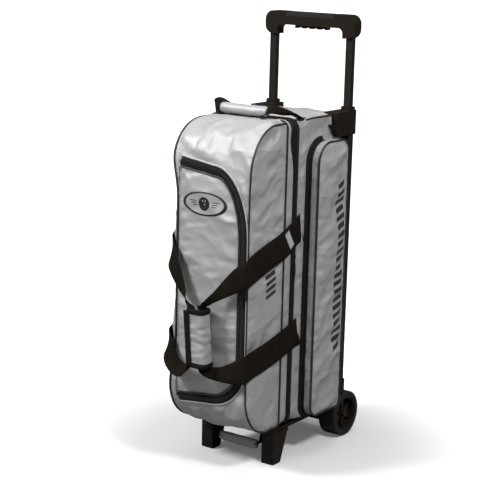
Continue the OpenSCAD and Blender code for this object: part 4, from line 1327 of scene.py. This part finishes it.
def add_wrap():
    """The padded wrap that holds both straps together: a stuffed C open to the left, bound in webbing."""
    lo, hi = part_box("strap_wrap")
    z0, z1 = lo.z * 1000, hi.z * 1000
    x0, y0, count = -14.0, -66.0, 40
    path = wrap_path(x0, 33.0, y0, -23.0, 14.0)
    tan = unit(np.gradient(path, axis=0))
    nor = np.stack([tan[:, 1], -tan[:, 0]], -1)
    inner = path - nor * 4.6
    inner[:, 0] = np.maximum(inner[:, 0], x0 + 1.5)
    ring, flow = np.vstack([path, inner[::-1]]), np.vstack([nor, -nor[::-1]])
    n = len(path)

    def lean(p):
        return p + np.multiply.outer(((z0 + z1) / 2 - p[..., 2]) * 0.085, [1.0, 0.0, 0.0])

    rows = []
    for i in range(count):
        t = i / (count - 1)
        z = z0 + (z1 - z0) * t
        puff = math.sin(math.pi * t) ** 0.35
        row = []
        for k, (p, f) in enumerate(zip(ring, flow)):
            grow = 0.0
            if k < n:
                s = k / (n - 1)
                lip = math.exp(-(s / 0.2) ** 2) + math.exp(-((1 - s) / 0.12) ** 2)
                ripple = noise.noise(Vector((p[0] / 26, p[1] / 26, z / 13))) * 3.0
                ripple += noise.noise(Vector((s * 3, 4, z / 8))) * 2.6 * lip
                grow = puff * 1.6 - 2.0 + ripple * puff
            row.append((p[0] + f[0] * grow, p[1] + f[1] * grow, z))
        rows.append(row)
    pts = lean(np.array(rows))
    padded("wrap_padded", pts, [pts[:, 0], pts[0, :n], pts[-1, :n]], "right_loop", "strap_wrap")
    out, up = np.column_stack([nor, np.zeros(n)]), np.tile([0.0, 0.0, 1.0], (n, 1))
    for tag, z in (("low", z0 - 1.4), ("high", z1 + 1.4)):
        line = lean(np.column_stack([path - nor * 0.4, np.full(n, z)]))
        tape = band(f"wrap_edge_{tag}", line, out, up, -6.5, 6.5, WEB, [0.6, 2.4, 2.8, 2.4, 0.6], 6.2)
        set_on(tape, "right_loop", "webbing", "wrap_binding")
    rows = np.array([[x0 - 2.0, y0 - 0.6, z, 8.0, -1.0, 0] for z in np.linspace(z0 - 2, z1 + 2, 12)])
    rows[:, :3] = lean(rows[:, :3])
    ribbon("wrap_side_binding", rows, "right_loop", "wrap_binding", thick=4.4)


def padded(name, pts, seams, body, node):
    """A stuffed cloth tube through a grid of points, closed at both ends."""
    count, sides = pts.shape[:2]
    flat = pts.reshape(-1, 3)
    faces = grid_faces(count, sides, wrap_v=True) + end_faces(count, sides)
    obj = make_mesh(name, flat, faces, SILVER_SLEEVE)
    fix_normals(obj)
    seam_attributes(obj, flat, seams)
    round_off(obj)
    apply_modifiers(obj)
    set_on(obj, body, "silver_fabric", node)


def add_sleeve(name, ends, y, z, r, body, sag, squash):
    """A grab handle's stuffed tube, puckered towards its ends, sewn along its underside."""
    count, sides = 44, 28
    span = ends[1] - ends[0]
    rows = []
    for i in range(count):
        t = i / (count - 1)
        x = ends[0] + span * t
        e = min(t, 1 - t) * span
        close = 0.86 + 0.14 * smooth(e / 10)
        flare = 1 - 0.05 * math.exp(-((e - 7) / 3.0) ** 2)
        row = []
        for k in range(sides):
            a = 2 * math.pi * k / sides
            bump = 0.5 * noise.noise(Vector((x / 14, math.cos(a) * 1.5, math.sin(a) * 1.5)))
            bump += 0.35 * math.sin(a * 9) * math.exp(-((e / 7) ** 2))
            rr = (r - 0.6) * close * flare + bump
            rr -= 0.9 * math.exp(-((math.degrees(a) - 270) / 9) ** 2)
            drop = sag * math.sin(math.pi * t)
            row.append((x, y + rr * math.cos(a) * squash, z + rr * math.sin(a) - drop))
        rows.append(row)
    pts = np.array(rows)
    seams = [pts[:, int(sides * 0.75)], closed(pts[0]), closed(pts[-1])]
    padded(name, pts, seams, body, f"{body}_sleeve")


def add_handles():
    """The two grab handles, top and bottom, with the webbing at their ends."""
    add_sleeve("top_grip_sleeve", (-88, 56), 158, 929, 14.8, "top_handle", 1.0, 1.0)
    add_sleeve("low_grip_sleeve", (-64, 58), 151, 42, 14.0, "low_handle", 0.0, 0.7)
    right = [[36, 156, 926, 0, 6, 14], [50, 153, 930, 2, 8, 15], [62, 157, 935, 6, 10, 12],
             [80, 172, 932, 10, 12, 7], [96, 188, 925, 13, 9, 4], [107, 205, 920.5, 14, 2, 0]]
    left = [[76, 158, 926, 0, 7, 12], [100, 155, 924, 1, 5, 16], [112, 162, 930, 7, 3, 15],
            [108, 182, 939, 12, 4, 10], [99, 198, 940, 14, 4, 4], [101, 208, 928, 13, 3, 0],
            [107, 209, 920.5, 14, 2, 0]]
    hinge = [[107, AXIS_Y - 3, 917.5, 13, 0, 0]]
    sewn = [[107, AXIS_Y - 2, 917.2, 13, 0, 0], [107, AXIS_Y + 5, 915.2, 13, 0, 0],
            [106, AXIS_Y + 12, 912.6, 13, 0, 0], [105, AXIS_Y + 26, 912.0, 13, 0, 0]]
    low = [[50, 151, 42, 0, 10, 0], [62, 151, 46, 1, 10, 0], [70, 151, 58, 1, 11, 0],
           [72, 151, 72, 0, 10, 0], [72, 151, 87, 0, 4, 0]]
    for s, word, top in ((1, "right", right), (-1, "left", left)):
        ribbon(f"top_web_{word}", sided(top + hinge, s), "top_handle", "top_handle_web", step=2.5)
        ribbon(f"top_web_end_{word}", sided(sewn, s), "case", "sewn_webbing", thick=1.8, step=2.5)
        ribbon(f"low_web_{word}", sided(low, s), "low_handle", "low_handle_web", step=2.5)


# ------------------------------------------------------------------ badge, inside and moulded parts
def add_badge(flap):
    """The oval badge lies on the flap's finished surface."""
    tree = BVHTree.FromObject(flap, bpy.context.evaluated_depsgraph_get())
    half_x, half_z, rings, sides = 70.0, 30.75, 9, 56
    verts = []

    def drop(x, z, lift):
        hit = tree.ray_cast(place(x, -60, z), Vector((0, 1, 0)), 0.2)[0]
        y = ((hit.y if hit else OFF.y) - OFF.y) * 1000
        verts.append((x, min(y, 0.5) - lift, z))

    for i in range(rings):
        t = (i + 1) / rings
        lift = 1.2 + 0.7 * math.exp(-((t - 0.93) / 0.07) ** 2) - 0.9 * smooth((t - 0.965) / 0.035)
        for k in range(sides):
            a = 2 * math.pi * k / sides
            drop(BADGE_X + half_x * t * math.cos(a), BADGE_Z + half_z * t * math.sin(a), lift)
    drop(BADGE_X, BADGE_Z, 1.2)
    faces = grid_faces(rings, sides, wrap_v=True)
    faces += [[k, (k + 1) % sides, rings * sides] for k in range(sides)]
    obj = make_mesh("badge_oval", verts, faces, BADGE)
    face_out(obj, (BADGE_X, 60, BADGE_Z))
    thicken(obj, 1.0, lined=False)
    apply_modifiers(obj)
    set_on(obj, "shoe_flap", "silver_fabric", "oval_badge")


def add_inside():
    """What shows with the front section open: the divider's lining and the foam cup."""
    inset = 7
    zs, xs = np.linspace(BASE_Z + inset, TOP_Z - inset, 70), np.linspace(-HALF_W + inset, HALF_W - inset, 26)
    pts = np.array([[(x, FRONT_D - 1 + 2.0 * math.sin(x / 9.0) ** 2 * 0.4, z) for x in xs] for z in zs])
    panel("divider_lining", pts, four_edges(pts), "front_door", ["pocket_divider"], (0, 0, MID_Z), crown=1.5,
          cap=2.5, material=LINING, slot="lining", thick=2.5, seed=53)
    lo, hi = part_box("foam_cup")
    x0, x1 = (lo.x - OFF.x) * 1000 + 6, (hi.x - OFF.x) * 1000 - 6
    y0, y1 = (lo.y - OFF.y) * 1000, (hi.y - OFF.y) * 1000
    ball_y, ball_z, ball_r, n = 277, BASE_Z + 120, 109, 40
    verts = []
    for i in range(n):
        for j in range(n):
            x, y = x0 + (x1 - x0) * i / (n - 1), y0 + (y1 - y0) * j / (n - 1)
            d2 = x * x + (y - ball_y) ** 2
            z = hi.z * 1000
            if d2 < ball_r**2:
                z = min(z, ball_z - math.sqrt(ball_r**2 - d2))
            e = min(x - x0, x1 - x, y - y0, y1 - y)
            verts.append((x, y, z - 3 * math.exp(-((e / 3) ** 2))))
    base = [(x, y, lo.z * 1000 + 1) for x, y, _ in verts]
    obj = make_mesh("ball_cup_foam", verts + base, slab_faces(n, n), FOAM)
    fix_normals(obj)
    set_on(obj, "case", "foam", "foam_cup")


DRESS = (
    (PLASTIC, 1.2, 2, ("base_deck", "legs", "wheel_carrier", "lower_brackets")),
    (GRIP, 1.6, 3, ("corner_brackets",)),
    (GRIP, 2.6, 4, ("grip_body",)),
    (DARK_RUBBER, 1.2, 3, ("grip_insert",)),
    (PLASTIC, 1.0, 3, ("release_trigger",)),
    (TUBE, 0.5, 2, ("handle_sleeves", "inner_tubes")),
    (STEEL, 0.4, 2, ("axle", "pull_rods")),
    (TUBE, 0.4, 2, ("screws",)),
    (TYRE, 3.0, 4, ("tyre_left", "tyre_right")),
    (RIM, 1.0, 3, ("rim_left", "cap_left", "rim_right", "cap_right")),
    (SLIDER, 1.0, 3, ("slider_upper", "slider_lower", "main_slider", "side_slider")),
    (PULL, 0.7, 3, ("pull_upper", "pull_lower", "main_pull", "side_pull")),
)


def dress_parts():
    """Gives each moulded CAD part its material and soft edges; its mesh stays as it is."""
    for material, bevel, segments, nodes in DRESS:
        for node in nodes:
            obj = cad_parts[node]
            obj.data.materials.clear()
            obj.data.materials.append(material)
            mod = soften(obj, "Edges", bevel, segments)
            mod.limit_method = "ANGLE"
            mod.angle_limit = math.radians(35)
            mod.harden_normals = True


# ------------------------------------------------------------------ stage
def add_camera(az):
    """The photo's viewpoint: direction and roll in radians, lens from its focal length in pixels."""
    focal, image_w, sensor = 1445.17, 500, 36
    el, roll = math.radians(12.64), math.radians(1.53)
    camera = bpy.data.cameras.new("camera")
    camera.lens = focal * sensor / image_w
    camera.clip_end = 40
    back = Vector((math.sin(az) * math.cos(el), -math.cos(az) * math.cos(el), math.sin(el)))
    right = Vector((math.cos(az), math.sin(az), 0))
    up = back.cross(right)
    side = right * math.cos(roll) + up * math.sin(roll)
    top = up * math.cos(roll) - right * math.sin(roll)
    turn = Matrix((side, top, back)).transposed().to_4x4()
    turn.translation = place(2120.76, -2845.87, 1387.15)
    cam = bpy.data.objects.new("camera", camera)
    cam.matrix_world = turn
    scene.collection.objects.link(cam)
    bpy.context.scene.camera = cam


def add_floor(az):
    """A pale floor that curves up behind; it glows less near the bag than further out, so that a painted
    shadow lies round the bag and the floor fades to white.
    """
    m = Nodes("floor_white")
    seen = m.new("ShaderNodeLightPath").outputs["Is Camera Ray"]
    away = m.new("ShaderNodeVectorMath", {0: m.coords()}, operation="LENGTH").outputs["Value"]
    pale = m.mix(m.noise(3.0, 3.0, m.coords()), grey(0.60), grey(0.62))
    # Glow is low close to the bag and high further out: a painted shadow round the bag's base, fading to
    # white.
    glow_with_painted_shadow = m.add(m.ramp(away, 0.3, 0.85, 0.10, 0.78), m.ramp(away, 1.2, 3.0, 0.0, 0.4))
    m.finish(Base_Color=m.mix(seen, grey(0.24), pale), Roughness=0.8, Specular_IOR_Level=0.1,
             Emission_Color=(1, 1, 1, 1), Emission_Strength=m.mul(seen, glow_with_painted_shadow))
    radius, far, wide = 3.0, 6.0, 16.0
    line = [(-14.0, 0.0)] + [(y, 0.0) for y in np.linspace(-6, far, 14)]
    for t in np.linspace(0.1, math.pi / 2, 14):
        line.append((far + radius * math.sin(t), radius - radius * math.cos(t)))
    line.append((far + radius, 16.0))
    me = bpy.data.meshes.new("floor")
    me.from_pydata([(x, y, z) for y, z in line for x in (-wide, wide)], [], grid_faces(len(line), 2))
    me.shade_smooth()
    me.materials.append(m.mat)
    floor = bpy.data.objects.new("floor", me)
    floor.rotation_euler = (0, 0, az)
    scene.collection.objects.link(floor)


def add_world():
    """White where the camera sees it; for light, dim below and brighter above."""
    world = bpy.data.worlds.new("studio")
    world.use_nodes = True
    tree = world.node_tree
    fade, seen = tree.nodes.new("ShaderNodeMapRange"), tree.nodes.new("ShaderNodeMath")
    split, sky = tree.nodes.new("ShaderNodeSeparateXYZ"), tree.nodes["Background"]
    for k, v in enumerate((-0.1, 1.0, 0.09, 0.55), 1):
        fade.inputs[k].default_value = v
    seen.operation = "MAXIMUM"
    sky.inputs[0].default_value = (1, 1, 1, 1)
    tree.links.new(tree.nodes.new("ShaderNodeTexCoord").outputs["Generated"], split.inputs[0])
    tree.links.new(split.outputs[2], fade.inputs[0])
    tree.links.new(fade.outputs[0], seen.inputs[0])
    tree.links.new(tree.nodes.new("ShaderNodeLightPath").outputs["Is Camera Ray"], seen.inputs[1])
    tree.links.new(seen.outputs[0], sky.inputs[1])
    scene.world = world


def add_lamp(name, pos, size, power, height):
    """A round area lamp that points at the bag's middle line at a height in metres."""
    light = bpy.data.lights.new(name, "AREA")
    light.shape, light.size, light.energy = "DISK", size, power
    obj = bpy.data.objects.new(name, light)
    obj.location = pos
    obj.rotation_euler = (Vector((0, 0, height)) - Vector(pos)).to_track_quat("-Z", "Y").to_euler()
    scene.collection.objects.link(obj)


AZIMUTH = math.radians(35.07)
add_camera(AZIMUTH)
add_floor(AZIMUTH)
add_world()
add_lamp("key", (-1.6, -2.3, 2.9), 0.9, 150, 0.7)
add_lamp("top", (0.2, 0.2, 3.2), 1.2, 22, 0.9)
add_lamp("side", (2.2, -0.9, 3.1), 0.6, 96, 0.7)
scene.view_settings.view_transform = "Standard"

cloth_front()
cloth_gussets()
add_badge(cloth_flap())
cloth_collar()
cloth_case()
cloth_pocket()
add_piping()
add_zippers()
add_straps()
add_label()
add_wrap()
add_handles()
add_inside()
dress_parts()
